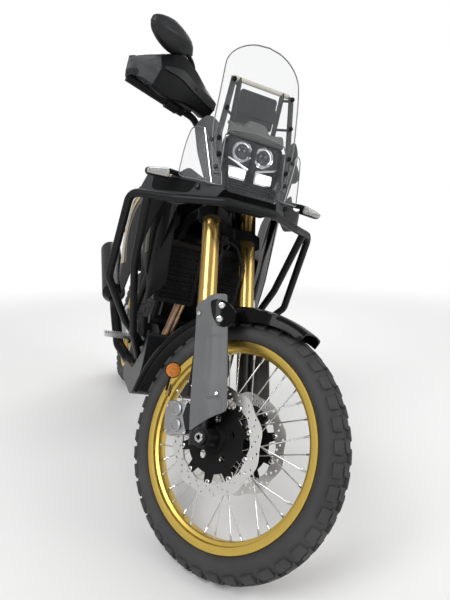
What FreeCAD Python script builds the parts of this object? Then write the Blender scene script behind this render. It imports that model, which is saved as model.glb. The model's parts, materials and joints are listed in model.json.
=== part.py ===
import FreeCAD, Part

import math
import os
import re

import Sketcher

from FreeCAD import Placement, Rotation, Vector

# Adventure motorcycle parked on its side stand, steering turned left onto its stop.
# Every piece is drawn with the machine upright and straight ahead: X forward from the rear axle,
# Y to the rider's left, Z up from the ground. The placements at the end lean and steer it.

doc = FreeCAD.newDocument("AdventureMotorcycle")
sheet = doc.addObject("Spreadsheet::Sheet", "Sizes")

# alias, value in millimetres or degrees, meaning
SIZES = [
    ("wheel_base", 1540, "rear axle to front axle"),
    ("front_tyre_radius", 350, "over the tread blocks"),
    ("front_tyre_half_width", 46, ""),
    ("front_crown_radius", 50, "roundness of the tread across the tyre"),
    ("rear_tyre_radius", 334, "over the tread blocks"),
    ("rear_tyre_half_width", 75, ""),
    ("rear_crown_radius", 82, "roundness of the tread across the tyre"),
    ("front_tyre_depth", 83.3, "tread to bead seat"),
    ("front_bead_radius", "=front_tyre_radius - front_tyre_depth", "bead seat of a 21 inch rim"),
    ("front_rim_half_width", 31, "over the flanges"),
    ("rear_tyre_depth", 105.4, "tread to bead seat"),
    ("rear_bead_radius", "=rear_tyre_radius - rear_tyre_depth", "bead seat of an 18 inch rim"),
    ("tread_depth", 8, ""),
    ("rear_rim_half_width", 57, "over the flanges"),
    ("flange_height", 14, "rim flange above the bead seat"),
    ("rim_wall", 4, ""),
    ("rim_well", 13, "drop of the rim's middle below the bead seat"),
    ("seat_gap", 0.3, "between pieces that seat on one another"),
    ("spoke_radius", 2.4, "over the corners of its six sides"),
    ("spoke_count", 36, ""),
    ("front_flange_radius", 42, "spoke circle of the front hub"),
    ("front_flange_side", 31, "spoke circle to the middle of the wheel"),
    ("rear_flange_radius", 62, "spoke circle of the rear hub"),
    ("rear_flange_side", 38, ""),
    ("front_disc_radius", 146, ""),
    ("front_disc_plane", 68, "middle of the wheel to the disc"),
    ("rear_disc_radius", 120, ""),
    ("rear_disc_plane", 88, ""),
    ("disc_thickness", 5, ""),
    ("disc_band", 38, "swept width of a disc"),
    ("disc_wave", 6, "depth of the notches in its edge"),
    ("axle_radius", 11, ""),
    ("axle_bore", 7, "radius of the hole through an axle"),
    ("running_gap", 0.4, "between an axle and a hub"),
    ("rake", 27, "degrees from upright"),
    ("steer_offset", 60, "front axle ahead of the steering axis"),
    ("leg_offset", 33, "fork legs ahead of the steering axis"),
    ("leg_side", 105, "fork leg to the middle"),
    ("fork_tube_radius", 28, "outer fork tube"),
    ("fork_tube_bore", 22.3, ""),
    ("fork_collar_radius", 30, "dust seal at the outer tube's end"),
    ("fork_rod_radius", 22, "inner fork tube"),
    ("fork_tube_low", 350, "lower end of the outer tube, up the steering axis from the axle"),
    ("fork_tube_top", 903, ""),
    ("low_clamp_at", 655, "underside of the lower clamp"),
    ("low_clamp_height", 38, ""),
    ("top_clamp_at", 868, "underside of the upper clamp"),
    ("top_clamp_height", 26, ""),
    ("stem_radius", 15, ""),
    ("head_tube_radius", 31, ""),
    ("bar_radius", 11, ""),
    ("bar_half_width", 430, ""),
    ("grip_radius", 17, ""),
    ("grip_length", 125, ""),
    ("frame_tube_radius", 16, ""),
    ("hanger_radius", 14, ""),
    ("pivot_ahead", 560, "swingarm pivot ahead of the rear axle"),
    ("pivot_height", 420, ""),
    ("plate_side", 135, "inner face of a pivot plate to the middle"),
    ("plate_thickness", 12, ""),
    ("arm_side", 118, "swingarm beam to the middle"),
    ("arm_width", 28, ""),
    ("arm_height", 62, ""),
    ("pivot_radius", 9, ""),
    ("subframe_radius", 11, ""),
    ("crash_tube_radius", 13, ""),
    ("chain_side", 92, ""),
    ("chain_pitch", 15.875, ""),
    ("sprocket_thickness", 6, ""),
    ("shaft_radius", 13, "gearbox output"),
    ("front_sprocket_teeth", 16, ""),
    ("rear_sprocket_teeth", 46, ""),
    ("stay_radius", 8, ""),
    ("screen_thickness", 4, ""),
    ("panel_thickness", 4, ""),
    ("skid_thickness", 4, ""),
    ("header_radius", 19, "exhaust header"),
    ("silencer_radius", 56, ""),
    ("peg_side", 151, "footrest's root to the middle"),
    ("peg_length", 118, ""),
    ("lean", 13, "degrees to the left on the stand"),
    ("steer_lock", 33, "degrees each way"),
    ("stand_leg_radius", 13, ""),
    ("stand_eye_radius", 18, ""),
    ("stand_pin_radius", 6, ""),
    ("stand_foot_side", 305, "stand foot to the wheel line"),
    ("origin_ahead", 754, "origin ahead of the rear axle"),
    ("origin_left", 261, "origin left of the rear tyre's foot"),
]
for row, (alias, value, meaning) in enumerate(SIZES, 1):
    sheet.set(f"A{row}", alias)
    sheet.set(f"B{row}", str(value))
    sheet.setAlias(f"B{row}", alias)
    sheet.set(f"C{row}", meaning)
doc.recompute()


class Sizes:
    """The sheet's values as attributes."""

    def __getattr__(self, alias):
        return float(getattr(sheet, alias))


size = Sizes()
X, Y, Z, O = Vector(1, 0, 0), Vector(0, 1, 0), Vector(0, 0, 1), Vector(0, 0, 0)
SIDES = (1, -1)

rake = math.radians(size.rake)
UP_FORK = Vector(-math.sin(rake), 0, math.cos(rake))
AHEAD = Vector(math.cos(rake), 0, math.sin(rake))
FRONT_AXLE = Vector(size.wheel_base, 0, size.front_tyre_radius)
REAR_AXLE = Vector(0, 0, size.rear_tyre_radius)
STEER_FOOT = FRONT_AXLE - AHEAD * size.steer_offset
PIVOT = Vector(size.pivot_ahead, 0, size.pivot_height)
UPRIGHT_FORK = Placement(STEER_FOOT, Rotation(Y, -size.rake))


def fork(along, ahead=0.0, side=0.0):
    """Point by its distance up the steering axis, ahead of it and to the left."""
    return STEER_FOOT + UP_FORK * along + AHEAD * ahead + Y * side


# The front of the chassis is placed from the steering head, and lamp and screen from the nose
HEAD = fork(780)
NOSE = HEAD + Vector(127.6, 0, 112.3)

# Placements: the machine leans on its stand with both tyres on the ground

def leaned(drop, pitch):
    return Placement(Z * drop, Rotation()) * Placement(O, Rotation(Y, pitch)) * Placement(O, Rotation(X, -size.lean))


STEERED = Placement(STEER_FOOT, Rotation()) * Placement(O, Rotation(UP_FORK, size.steer_lock)) * Placement(
    STEER_FOOT * -1, Rotation())


def tyre_low(place, centre, radius, crown):
    """Lowest point of a tyre whose tread is round across."""
    middle = place.multVec(centre)
    tilt = place.Rotation.multVec(Y).z
    return middle.z - (radius - crown) * math.sqrt(1 - tilt * tilt) - crown


def settle():
    """Height and pitch at which both tyres touch the ground."""
    drop = pitch = 0.0
    for _ in range(12):
        pose = leaned(drop, pitch)
        rear = tyre_low(pose, REAR_AXLE, size.rear_tyre_radius, size.rear_crown_radius)
        ahead = tyre_low(pose * STEERED, FRONT_AXLE, size.front_tyre_radius, size.front_crown_radius)
        drop -= rear
        pitch += math.degrees((ahead - rear) / size.wheel_base)
    return leaned(drop, pitch)


POSE = Placement(Vector(-size.origin_ahead, -size.origin_left, 0), Rotation()) * settle()

# Features

def bind(feature, **values):
    """Set properties; a text value is an expression on the sheet's aliases."""
    for prop, value in values.items():
        if isinstance(value, str):
            feature.setExpression(prop, re.sub(r"[a-z_]+", lambda word: "Sizes." + word.group(), value))
        else:
            setattr(feature, prop, value)
    return feature


def corner(before, at, after, radius):
    """Start, middle and end of the arc that rounds a corner."""
    back = (before - at).normalize()
    forth = (after - at).normalize()
    half = back.getAngle(forth) / 2
    cut = radius / math.tan(half)
    middle = at + (back + forth).normalize() * (radius / math.sin(half) - radius)
    return at + back * cut, middle, at + forth * cut


def rounded(points, radii, closed):
    """Straight runs through points, joined by arcs where a corner has a radius."""
    count = len(points)
    corners = []
    for i, (at, radius) in enumerate(zip(points, radii)):
        inner = closed or 0 < i < count - 1
        if radius and inner:
            corners.append(corner(points[i - 1], at, points[(i + 1) % count], radius))
        else:
            corners.append((at,))
    pieces = []
    for i, here in enumerate(corners):
        if len(here) == 3:
            pieces.append(Part.Arc(*here))
        if i + 1 < count or closed:
            following = corners[(i + 1) % count][0]
            if here[-1].distanceToPoint(following) > 1e-6:
                pieces.append(Part.LineSegment(here[-1], following))
    return pieces


def flat_outline(points):
    """Closed outline from (u, v) or (u, v, corner radius)."""
    return rounded([Vector(p[0], p[1], 0) for p in points], [p[2] if len(p) > 2 else 0 for p in points], True)


def new_body(name, place=Placement()):
    body = doc.addObject("PartDesign::Body", name)
    body.Placement = place
    return body


def sketch(body, plane, outlines=(), circles=(), offset=0.0):
    """Sketch on an origin plane: outlines of points, and circles of (u, v, radius expression)."""
    drawn = body.newObject("Sketcher::SketchObject", body.Name + "_sketch")
    support = [part for part in body.Origin.OriginFeatures if part.Role == plane + "_Plane"]
    drawn.AttachmentSupport = (support[0], [""])
    drawn.MapMode = "FlatFace"
    drawn.AttachmentOffset = Placement(Z * offset, Rotation())
    for outline in outlines:
        drawn.addGeometry(flat_outline(outline), False)
    for u, v, radius in circles:
        index = drawn.addGeometry(Part.Circle(Vector(u, v, 0), Z, 5))
        number = drawn.addConstraint(Sketcher.Constraint("Radius", index, 5))
        bind(drawn, **{f"Constraints[{number}]": radius})
    return drawn


def pad(body, drawn, length, side="One side", back=False):
    made = body.newObject("PartDesign::Pad", body.Name + "_pad")
    made.Profile = drawn
    made.SideType = side
    made.Reversed = back
    return bind(made, Length=length)


def pocket(body, drawn, side="Symmetric", length=4000.0):
    made = body.newObject("PartDesign::Pocket", body.Name + "_pocket")
    made.Profile = drawn
    made.SideType = side
    return bind(made, Length=length)


def revolve(body, outline, plane="XY", axis="V_Axis"):
    drawn = sketch(body, plane, [outline])
    made = body.newObject("PartDesign::Revolution", body.Name + "_turned")
    made.Profile = drawn
    made.ReferenceAxis = (drawn, [axis])
    return bind(made, Angle=360.0)


def ring_of(body, feature, drawn, count, axis="N_Axis"):
    made = body.newObject("PartDesign::PolarPattern", body.Name + "_ring")
    made.Originals = [feature]
    made.Axis = (drawn, [axis])
    body.Tip = made
    return bind(made, Angle=360.0, Occurrences=count)


def prism(name, plane, outline, low, high, place=Placement()):
    """Outline on an origin plane, from low to high along the plane's own normal."""
    body = new_body(name, place)
    drawn = sketch(body, plane, [outline], offset=low)
    pad(body, drawn, high - low)
    return body


def slab(name, outline, half_width, place=Placement()):
    """Side view outline in X and Z, as wide to both sides of the middle."""
    body = new_body(name, place)
    pad(body, sketch(body, "XZ", [outline]), 2 * half_width, "Symmetric")
    return body


def hexagon_rod(name, start, end, radius):
    """Six-sided bar from one point to another."""
    made = doc.addObject("Part::Prism", name)
    made.Polygon = 6
    made.Placement = Placement(start, Rotation(Z, end - start))
    return bind(made, Circumradius=radius, Height=(end - start).Length)


def rod(name, start, end, radius):
    """Cylinder from one point to another."""
    made = doc.addObject("Part::Cylinder", name)
    made.Placement = Placement(start, Rotation(Z, end - start))
    return bind(made, Radius=radius, Height=(end - start).Length)


def tube(name, points, radius, bend):
    """Round bar along straight runs with bends."""
    path = doc.addObject("Part::Feature", name + "_path")
    radii = [bend] * len(points)
    edges = [piece.toShape() for piece in rounded(points, radii, False)]
    path.Shape = Part.Wire(edges)
    ring = doc.addObject("Part::Circle", name + "_ring")
    ring.Placement = Placement(points[0], Rotation(Z, points[1] - points[0]))
    bind(ring, Radius=radius)
    made = doc.addObject("Part::Sweep", name)
    made.Sections = [ring]
    made.Spine = (path, [f"Edge{i + 1}" for i in range(len(edges))])
    made.Solid = True
    return made


def mirrored(feature):
    made = doc.addObject("Part::Mirroring", feature.Name + "_other_side")
    made.Source = feature
    made.Normal = Y
    made.Base = O
    return made


def both(name, feature):
    """A piece and its mirror image, not touching."""
    made = doc.addObject("Part::Compound", name)
    made.Links = [feature, mirrored(feature)]
    return made


def fused(name, features):
    made = doc.addObject("Part::MultiFuse", name)
    made.Shapes = features
    return made


def cut(name, base, tool):
    made = doc.addObject("Part::Cut", name)
    made.Base = base
    made.Tool = tool
    return made


def common(name, first, second):
    made = doc.addObject("Part::MultiCommon", name)
    made.Shapes = [first, second]
    return made


def group(name, features):
    """Pieces of one node that do not touch."""
    made = doc.addObject("Part::Compound", name)
    made.Links = features
    return made


# Wheels, turned about Y at the middle of each wheel

def rim_outline(bead, half_width):
    """Channel section as (radius, y): flanges, bead seats and the well that the spokes pull on."""
    wall = size.rim_wall
    inside = half_width - wall
    top = bead + size.flange_height
    well = bead - size.rim_well
    half_well = inside * 0.45
    slope = inside * 0.62
    outer = [(top, half_width), (bead - wall, half_width), (bead - wall, slope), (well - wall, half_well)]
    inner = [(well, half_well - 1), (bead, slope - 2), (bead, inside), (top, inside)]
    return (outer + [(r, -y) for r, y in reversed(outer)] + [(r, -y) for r, y in reversed(inner)] + inner)


def touch_angle(place):
    """How far round the tread from its middle a leaning tyre meets the ground."""
    return math.asin(abs(place.Rotation.multVec(Y).z))


def tyre_body(name, radius, half_width, crown, bead, rim_half_width, touch, count):
    """Carcass with straight facets, and staggered rows of tread blocks that stand on it."""
    gap = size.seat_gap
    inside = rim_half_width - size.rim_wall - gap
    lip = bead + size.flange_height + gap
    edge = math.asin(min(0.9, (half_width - 3) / crown))

    def across(turn, depth):
        """Point of the section by its angle round the tread and its depth below the blocks."""
        reach = crown - depth
        return radius - crown + reach * math.cos(turn), reach * math.sin(turn)

    side = (bead + (radius - bead) * 0.42, half_width - 5)
    half = [(bead + gap, inside), (lip, inside), (lip, rim_half_width - 1), side]
    half += [across(edge * share, size.tread_depth) for share in (1, 0.5)]
    body = new_body(name)
    revolve(body, half + [across(0, size.tread_depth)] + [(r, -y) for r, y in reversed(half)])
    made = []
    # share of the half tread at which a row starts and ends, and whether it is set half a pitch back
    for start, end, back in ((0.05, 0.42, False), (0.5, 1.0, True)):
        middle = touch if start * edge < touch < end * edge else (start + end) / 2 * edge
        top = [across(turn, 0) for turn in (start * edge, middle, end * edge)]
        foot = [across(turn, size.tread_depth + 4) for turn in (end * edge, start * edge)]
        drawn = sketch(body, "XY", [top + foot, [(r, -y) for r, y in top + foot]])
        block = body.newObject("PartDesign::Revolution", name + "_blocks")
        block.Profile = drawn
        block.ReferenceAxis = (drawn, ["V_Axis"])
        block.Reversed = back
        made.append(bind(block, Angle=0.6 * 360 / count))
    ring = ring_of(body, made[0], drawn, count, "V_Axis")
    ring.Originals = made
    return body


def rim_body(name, bead, half_width):
    body = new_body(name)
    revolve(body, rim_outline(bead, half_width))
    return body


def hub_body(name, flange_radius, flange_side, left, right):
    """Barrel with two spoke flanges and a cone out to each seat, bored for the axle."""
    bore = size.axle_radius + size.running_gap
    flange = 4
    barrel = flange_radius * 0.6
    rim = flange_radius + 7
    outline = []
    seat_radius = flange_radius * 0.88
    for sign, side in ((1, left), (-1, right)):
        half = [(bore, side), (seat_radius, side), (seat_radius, side - 5), (seat_radius - 4, side - 7),
                (barrel + 5, flange_side + flange + 6), (barrel + 6, flange_side + flange), (rim, flange_side + flange),
                (rim, flange_side - flange), (barrel, flange_side - flange - 8)]
        outline += half if sign > 0 else [(r, -y) for r, y in reversed(half)]
    body = new_body(name)
    revolve(body, outline)
    return body


def hub_side(plane, thickness):
    """Side of a hub that a disc or sprocket seats on."""
    return plane - thickness / 2 - size.seat_gap


def spokes(name, hub_radius, hub_side, rim_radius, rim_side):
    """Crossed spokes in pairs: each leaves the hub nearly along its rim and meets the next pair's."""
    gap = size.seat_gap + 0.4
    count = int(size.spoke_count)
    step = 360 / count
    made = []
    for number in range(count):
        sign = 1 if number % 2 == 0 else -1
        trail = 1 if number % 4 < 2 else -1
        at_rim = math.radians(number * step)
        at_hub = math.radians(number * step + trail * 52)
        lift = 6.8 if trail > 0 else 1.8
        hub_end = Vector(hub_radius * math.cos(at_hub), sign * (hub_side + lift), hub_radius * math.sin(at_hub))
        rim_end = Vector(rim_radius * math.cos(at_rim), sign * rim_side, rim_radius * math.sin(at_rim))
        run = (rim_end - hub_end).normalize()
        made.append(hexagon_rod(f"{name}_{number + 1}", hub_end, rim_end - run * gap, "spoke_radius"))
    return group(name, made)


def polar(radius, degrees):
    turn = math.radians(degrees)
    return radius * math.cos(turn), radius * math.sin(turn)


def disc_with_carrier(name, radius, plane, sign):
    """Waved and slotted brake disc on a spider that bolts to the hub's side."""
    body = new_body(name, Placement(Y * getattr(size, plane) * sign, Rotation()))
    outside = getattr(size, radius)
    inside = outside - size.disc_band
    lobes, slot_pairs = 12, 12
    wave = [(*polar(outside - size.disc_wave * (n % 2), n * 180 / lobes), 40) for n in range(2 * lobes)]
    slots = []
    for number in range(2 * slot_pairs):
        middle = number * 180 / slot_pairs + 7.5
        out = outside - 11 if number % 2 else outside - 20
        slots.append([polar(out, middle), polar(out, middle + 1.8), polar(out - 11, middle + 4.2), polar(out - 11, middle + 2.4)])
    band = sketch(body, "XZ", [wave] + slots, [(0, 0, radius + " - disc_band")])
    pad(body, band, "disc_thickness", "Symmetric")
    arm = sketch(body, "XZ", [[(32, -12), (inside * 0.6, -7), (inside + 6, -13), (inside + 6, 13), (inside * 0.6, 7), (32, 12)]])
    arms = pad(body, arm, "disc_thickness", "Symmetric")
    ring_of(body, arms, arm, 6)
    boss = sketch(body, "XZ", circles=[(0, 0, "axle_radius * 4"), (0, 0, "axle_radius * 2")])
    pad(body, boss, "disc_thickness", "Symmetric")
    return body


def pitch_radius(teeth):
    return size.chain_pitch / (2 * math.sin(math.pi / getattr(size, teeth)))


def sprocket(name, teeth, centre, bore, windows=0):
    """Toothed plate, its teeth just inside the chain's rollers."""
    count, tip = int(getattr(size, teeth)), pitch_radius(teeth) - 4
    outline = []
    for tooth in range(count):
        outline += [polar(tip, (tooth + share) * 360 / count) for share in (-0.14, 0.14)]
        outline.append(polar(tip - 4, (tooth + 0.5) * 360 / count))
    spans = [(n * 360 / windows, (n + 0.68) * 360 / windows) for n in range(windows)]
    holes = [[(*polar(tip - 16, a), 6), (*polar(tip - 14, (a + b) / 2), 60), (*polar(tip - 16, b), 6),
              (*polar(tip * 0.5, b - 6), 6), (*polar(tip * 0.5, a + 6), 6)] for a, b in spans]
    body = new_body(name, Placement(centre + Y * size.chain_side, Rotation()))
    rim = sketch(body, "XZ", [outline] + holes, [(0, 0, bore)])
    pad(body, rim, "sprocket_thickness", "Symmetric")
    return body


def front_tyre():
    return tyre_body("front_tyre", size.front_tyre_radius, size.front_tyre_half_width, size.front_crown_radius,
                     size.front_bead_radius, size.front_rim_half_width, touch_angle(POSE * STEERED), 40)


def rear_tyre():
    return tyre_body("rear_tyre", size.rear_tyre_radius, size.rear_tyre_half_width, size.rear_crown_radius,
                     size.rear_bead_radius, size.rear_rim_half_width, touch_angle(POSE), 34)


def front_rim():
    return rim_body("front_rim", size.front_bead_radius, size.front_rim_half_width)


def rear_rim():
    return rim_body("rear_rim", size.rear_bead_radius, size.rear_rim_half_width)


def front_hub():
    side = hub_side(size.front_disc_plane, size.disc_thickness)
    return hub_body("front_hub", size.front_flange_radius, size.front_flange_side, side, side)


def rear_hub():
    return hub_body("rear_hub", size.rear_flange_radius, size.rear_flange_side,
                    hub_side(size.chain_side, size.sprocket_thickness),
                    hub_side(size.rear_disc_plane, size.disc_thickness))


def front_spokes():
    return spokes("front_spokes", size.front_flange_radius + 2, size.front_flange_side + 6.4,
                  size.front_bead_radius - size.rim_well - size.rim_wall, 7)


def rear_spokes():
    return spokes("rear_spokes", size.rear_flange_radius + 2, size.rear_flange_side + 7,
                  size.rear_bead_radius - size.rim_well - size.rim_wall, 12)


def front_discs():
    return both("front_discs", disc_with_carrier("front_disc", "front_disc_radius", "front_disc_plane", 1))


def rear_disc():
    return disc_with_carrier("rear_disc", "rear_disc_radius", "rear_disc_plane", -1)


def rear_sprocket():
    return sprocket("rear_sprocket", "rear_sprocket_teeth", O, "axle_radius * 2", windows=5)


# Steering assembly, with the fork along the steering axis

def leg_point(along, sign, ahead=None):
    return fork(along, size.leg_offset if ahead is None else ahead, sign * size.leg_side)


def fork_tubes():
    """Outer tubes, bored for the inner ones, with a collar at the lower end."""
    low, top = leg_point(size.fork_tube_low, 1), leg_point(size.fork_tube_top, 1)
    collar = rod("fork_collar", low, leg_point(size.fork_tube_low + 14, 1), "fork_collar_radius")
    outer = fused("fork_outer", [rod("fork_outer_tube", low, top, "fork_tube_radius"), collar])
    bore = rod("fork_bore", leg_point(size.fork_tube_low - 1, 1), leg_point(size.low_clamp_at - 20, 1),
               "fork_tube_bore")
    return both("fork_tubes", cut("fork_tube_bored", outer, bore))


def fork_legs():
    """Inner tubes with the castings that clamp the axle."""
    half_clamp = size.fork_rod_radius + 4
    tube_part = rod("fork_rod", leg_point(60, 1), leg_point(size.low_clamp_at - 22, 1), "fork_rod_radius")
    casting = rod("fork_casting", leg_point(-18, 1), leg_point(96, 1), "fork_rod_radius + 4")
    clamp_in = fork(0, size.steer_offset, size.leg_side - half_clamp)
    clamp_out = fork(0, size.steer_offset, size.leg_side + half_clamp)
    clamp = rod("axle_clamp", clamp_in, clamp_out, "axle_radius * 2 + 4")
    lug = prism("caliper_lug", "XZ", [(-10, 22), (-10, 92), (-50, 92, 6), (-62, 60, 8), (-50, 22, 6)],
                -6, 6, Placement(fork(0, size.leg_offset, size.front_disc_plane + 30.3), Rotation(Y, -size.rake)))
    whole = fused("fork_leg_solid", [tube_part, casting, clamp, lug])
    hole = rod("axle_hole", fork(0, size.steer_offset, 60), fork(0, size.steer_offset, 150),
               "axle_radius + seat_gap")
    return both("fork_legs", cut("fork_leg_bored", whole, hole))


def front_axle():
    """Hollow axle with spacers between hub and legs, and a wide head on the right."""
    side = size.leg_side
    spacer_from = hub_side(size.front_disc_plane, size.disc_thickness) + size.running_gap
    spacer_to = side - size.fork_rod_radius - 4 - size.seat_gap
    r, wide = size.axle_radius, size.axle_radius + 6
    out = side + size.fork_rod_radius + 4 + size.seat_gap
    outline = [(size.axle_bore, -out - 9), (wide + 3, -out - 9), (wide + 3, -out), (r, -out), (r, -spacer_to),
               (wide, -spacer_to), (wide, -spacer_from), (r, -spacer_from), (r, spacer_from),
               (wide, spacer_from), (wide, spacer_to), (r, spacer_to), (r, out), (wide, out),
               (wide, out + 9), (size.axle_bore, out + 9)]
    body = new_body("front_axle", Placement(FRONT_AXLE, Rotation()))
    revolve(body, outline)
    return body


def clamp_outline(back, nose):
    """Plan of a triple clamp about the steering axis: ahead, side."""
    wide = size.leg_side + size.fork_tube_radius + 9
    reach = size.leg_offset + size.fork_tube_radius + 9
    waist = size.leg_side - size.fork_tube_radius - 9
    rear = size.leg_offset - size.fork_tube_radius - 9
    half = [(reach, wide, 20), (rear, wide, 20), (rear, waist, 16), (-back, 34, 16)]
    ahead = [(reach, -waist, 16), (nose, -34, 18), (nose, 34, 18), (reach, waist, 16)]
    return half + [(u, -v, r) for u, v, r in reversed(half)] + ahead


def triple_clamps():
    """Two clamps around the outer tubes, joined by the stem."""
    clamps = []
    for name, at, height, back in (("low_clamp", "low_clamp_at", "low_clamp_height", 30),
                                   ("top_clamp", "top_clamp_at", "top_clamp_height", 26)):
        body = new_body(name, UPRIGHT_FORK)
        low = getattr(size, at)
        holes = [(size.leg_offset, sign * size.leg_side, "fork_tube_radius + seat_gap") for sign in SIDES]
        drawn = sketch(body, "XY", [clamp_outline(back, 24)], holes, offset=low)
        pad(body, drawn, height)
        clamps.append(body)
    stem = rod("stem", fork(size.low_clamp_at + 2), fork(size.top_clamp_at + size.top_clamp_height + 10), "stem_radius")
    risers = []
    for sign in SIDES:
        foot = fork(size.top_clamp_at + size.top_clamp_height - 2, 4, sign * 48)
        risers.append(rod(f"riser_{sign + 2}", foot, BAR_MIDDLE + Y * sign * 48 - UP_FORK * 19.3, "13"))
    return fused("triple_clamps", clamps + [stem] + risers)


BAR_MIDDLE = fork(size.top_clamp_at + size.top_clamp_height + 46, 6)
BAR_END = Vector(BAR_MIDDLE.x - 88, size.bar_half_width, BAR_MIDDLE.z + 34)
BAR_KNEE = Vector(BAR_MIDDLE.x - 16, 212, BAR_MIDDLE.z + 48)
GRIP_RUN = (BAR_END - BAR_KNEE).normalize()


def handlebar():
    points = [BAR_END, BAR_KNEE, BAR_MIDDLE + Y * 105, BAR_MIDDLE - Y * 105]
    points += [Vector(p.x, -p.y, p.z) for p in (BAR_KNEE, BAR_END)]
    bar = tube("bar_tube", points, "bar_radius", 60)
    clamps = [rod(f"bar_clamp_{sign + 2}", BAR_MIDDLE + Y * (sign * 48 - 15), BAR_MIDDLE + Y * (sign * 48 + 15),
                  "bar_radius + 8") for sign in SIDES]
    return fused("handlebar", [bar] + clamps)


def along_grip(distance):
    """Point on the bar's end run, measured inwards from the tip."""
    return BAR_END - GRIP_RUN * distance


def grip():
    inner = rod("grip_bore", along_grip(size.grip_length + 5), along_grip(-size.seat_gap), "bar_radius + seat_gap")
    outer = rod("grip_outer", along_grip(size.grip_length), along_grip(-6), "grip_radius")
    return cut("grip", outer, inner)


LEVER_REACH = 40


def lever_root(ahead):
    return along_grip(size.grip_length + 57) + X * ahead + Z * 2


def hand_controls():
    """Grips, and switch housings with the brake master cylinder or clutch perch."""
    inner = along_grip(size.grip_length + 4)
    housing = rod("switch_housing", inner, along_grip(size.grip_length + 44), "21")
    perch = rod("lever_perch", along_grip(size.grip_length + 66), along_grip(size.grip_length + 48), "18")
    # the arm ends short of the blade, which crosses it aslant
    arm = rod("perch_arm", lever_root(8), lever_root(LEVER_REACH - 7.7), "8")
    whole = fused("hand_control_solid", [housing, perch, arm])
    bore = rod("hand_control_bore", along_grip(size.grip_length), along_grip(size.grip_length + 70),
               "bar_radius + seat_gap")
    return both("hand_controls", group("hand_control_side", [cut("hand_control", whole, bore), grip()]))


def hand_levers():
    """A blade ahead of each grip, from the perch's arm."""
    root, ahead = lever_root(LEVER_REACH), X * LEVER_REACH
    return both("hand_levers", tube("lever_blade", [root - GRIP_RUN * 8, root + GRIP_RUN * 60 + X * 4, along_grip(8) + ahead],
                                    "5.5", 60))


def hand_guards():
    """Deep shells ahead of the grips, on an arm from the bar's tip."""
    at_tip = Placement(BAR_END, Rotation())
    side = [(-242, 65, 18), (-216, 133, 30), (-120, 155, 60), (12, 71, 34), (32, 3, 16), (-10, -21, 20), (-160, -7, 40)]
    shell = prism("guard_face", "YZ", side, -77, 183, at_tip)
    bow = [(127, -250), (113, -130, 120), (53, 48), (48, 44), (107, -133, 116), (121, -250)]
    band = prism("guard_band", "XY", bow, -47, 203, at_tip)
    plate = common("guard_shell", shell, band)
    tip = BAR_END + GRIP_RUN * 6.3
    elbow = tip + GRIP_RUN * 14
    arms = [rod("guard_arm_root", tip, elbow + GRIP_RUN * 7, "8"), rod("guard_arm", elbow, BAR_END + Vector(57, 19, 17), "7")]
    return both("hand_guards", fused("hand_guard", [plate] + arms))


def mirrors():
    """Round-cornered heads on bent stalks from the perches, with the glass set in behind."""
    foot = along_grip(size.grip_length + 57) + Z * 18.4
    stalk = tube("mirror_stalk", [foot, foot + Z * 70, foot + Vector(6, 115, 136)], "6", 30)
    place = Placement(foot + Vector(-6, 125, 146), Rotation(X, 12))
    outline = [(-72, -30, 26), (66, -42, 30), (74, 30, 34), (-60, 44, 34)]
    head = prism("mirror_head", "YZ", outline, -14, 6, place)
    back = prism("mirror_back", "YZ", [(u * 0.78, v * 0.74 + 1, r * 0.7) for u, v, r in outline], 4, 16, place)
    recess = prism("mirror_recess", "YZ", [(u * 0.9, v * 0.86, r * 0.86) for u, v, r in outline], -20, -11, place)
    return both("mirrors", cut("mirror", fused("mirror_solid", [stalk, head, back]), recess))


def hose(name, points):
    return tube(name, points, "4", 30)


def brake_hoses():
    """A hose down each fork leg from the lower clamp to its caliper, and one from the bar to the splitter."""
    hoses = []
    splitter = fork(size.low_clamp_at - 13, 12, 0)
    for sign in SIDES:
        run = [splitter + Y * sign * 10, fork(size.low_clamp_at - 20, 30, sign * 44), fork(560, 46, sign * 62),
               fork(400, -8, sign * 79), fork(200, -24, sign * 80), fork(118, -34, sign * (size.front_disc_plane + 14))]
        hoses.append(hose(f"caliper_hose_{sign + 2}", run))
    block = prism("hose_splitter", "XY", [(4, -14, 3), (20, -14, 3), (20, 14, 3), (4, 14, 3)], size.low_clamp_at - 24,
                  size.low_clamp_at - size.seat_gap, UPRIGHT_FORK)
    return fused("brake_hoses", hoses + [block])


def front_fender():
    """Low fender close over the tyre: an arched plate with turned-down sides."""
    inner = size.front_tyre_radius + 24
    wall = size.panel_thickness
    body = new_body("fender_ring", Placement(FRONT_AXLE, Rotation()))
    half = [(inner - 26, 70), (inner - 26, 66), (inner - 6, 62), (inner, 40), (inner, 0)]
    outline = half[:-1] + [(r, -y) for r, y in reversed(half[:-1])] + [(inner - 4, -67), (inner + wall, -42),
                                                                      (inner + wall, 42), (inner - 4, 67)]
    revolve(body, outline)
    reach = inner + 60
    wedge = [(0, 0), (reach * math.cos(math.radians(57)), reach * math.sin(math.radians(57))), (reach, reach),
             (-reach, reach), (-reach, -reach * 0.06), (-reach * 0.6, -reach * 0.06)]
    sector = slab("fender_sector", wedge, 120, Placement(FRONT_AXLE, Rotation()))
    arch = common("fender_arch", body, sector)
    arms = []
    for sign in SIDES:
        near, far = 66, size.leg_side - size.fork_collar_radius - size.seat_gap
        arms.append(prism(f"fender_arm_{sign + 2}", "XZ", [(14, 268, 10), (54, 268, 10), (60, 352), (8, 352)],
                          *sorted((-sign * near, -sign * far)), UPRIGHT_FORK))
        seat_at = size.leg_side - size.fork_rod_radius - size.seat_gap
        arms.append(rod(f"fender_boss_{sign + 2}", fork(300, size.leg_offset, sign * (far - 4)),
                        fork(300, size.leg_offset, sign * seat_at), "12"))
    return fused("front_fender", [arch] + arms)


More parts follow.
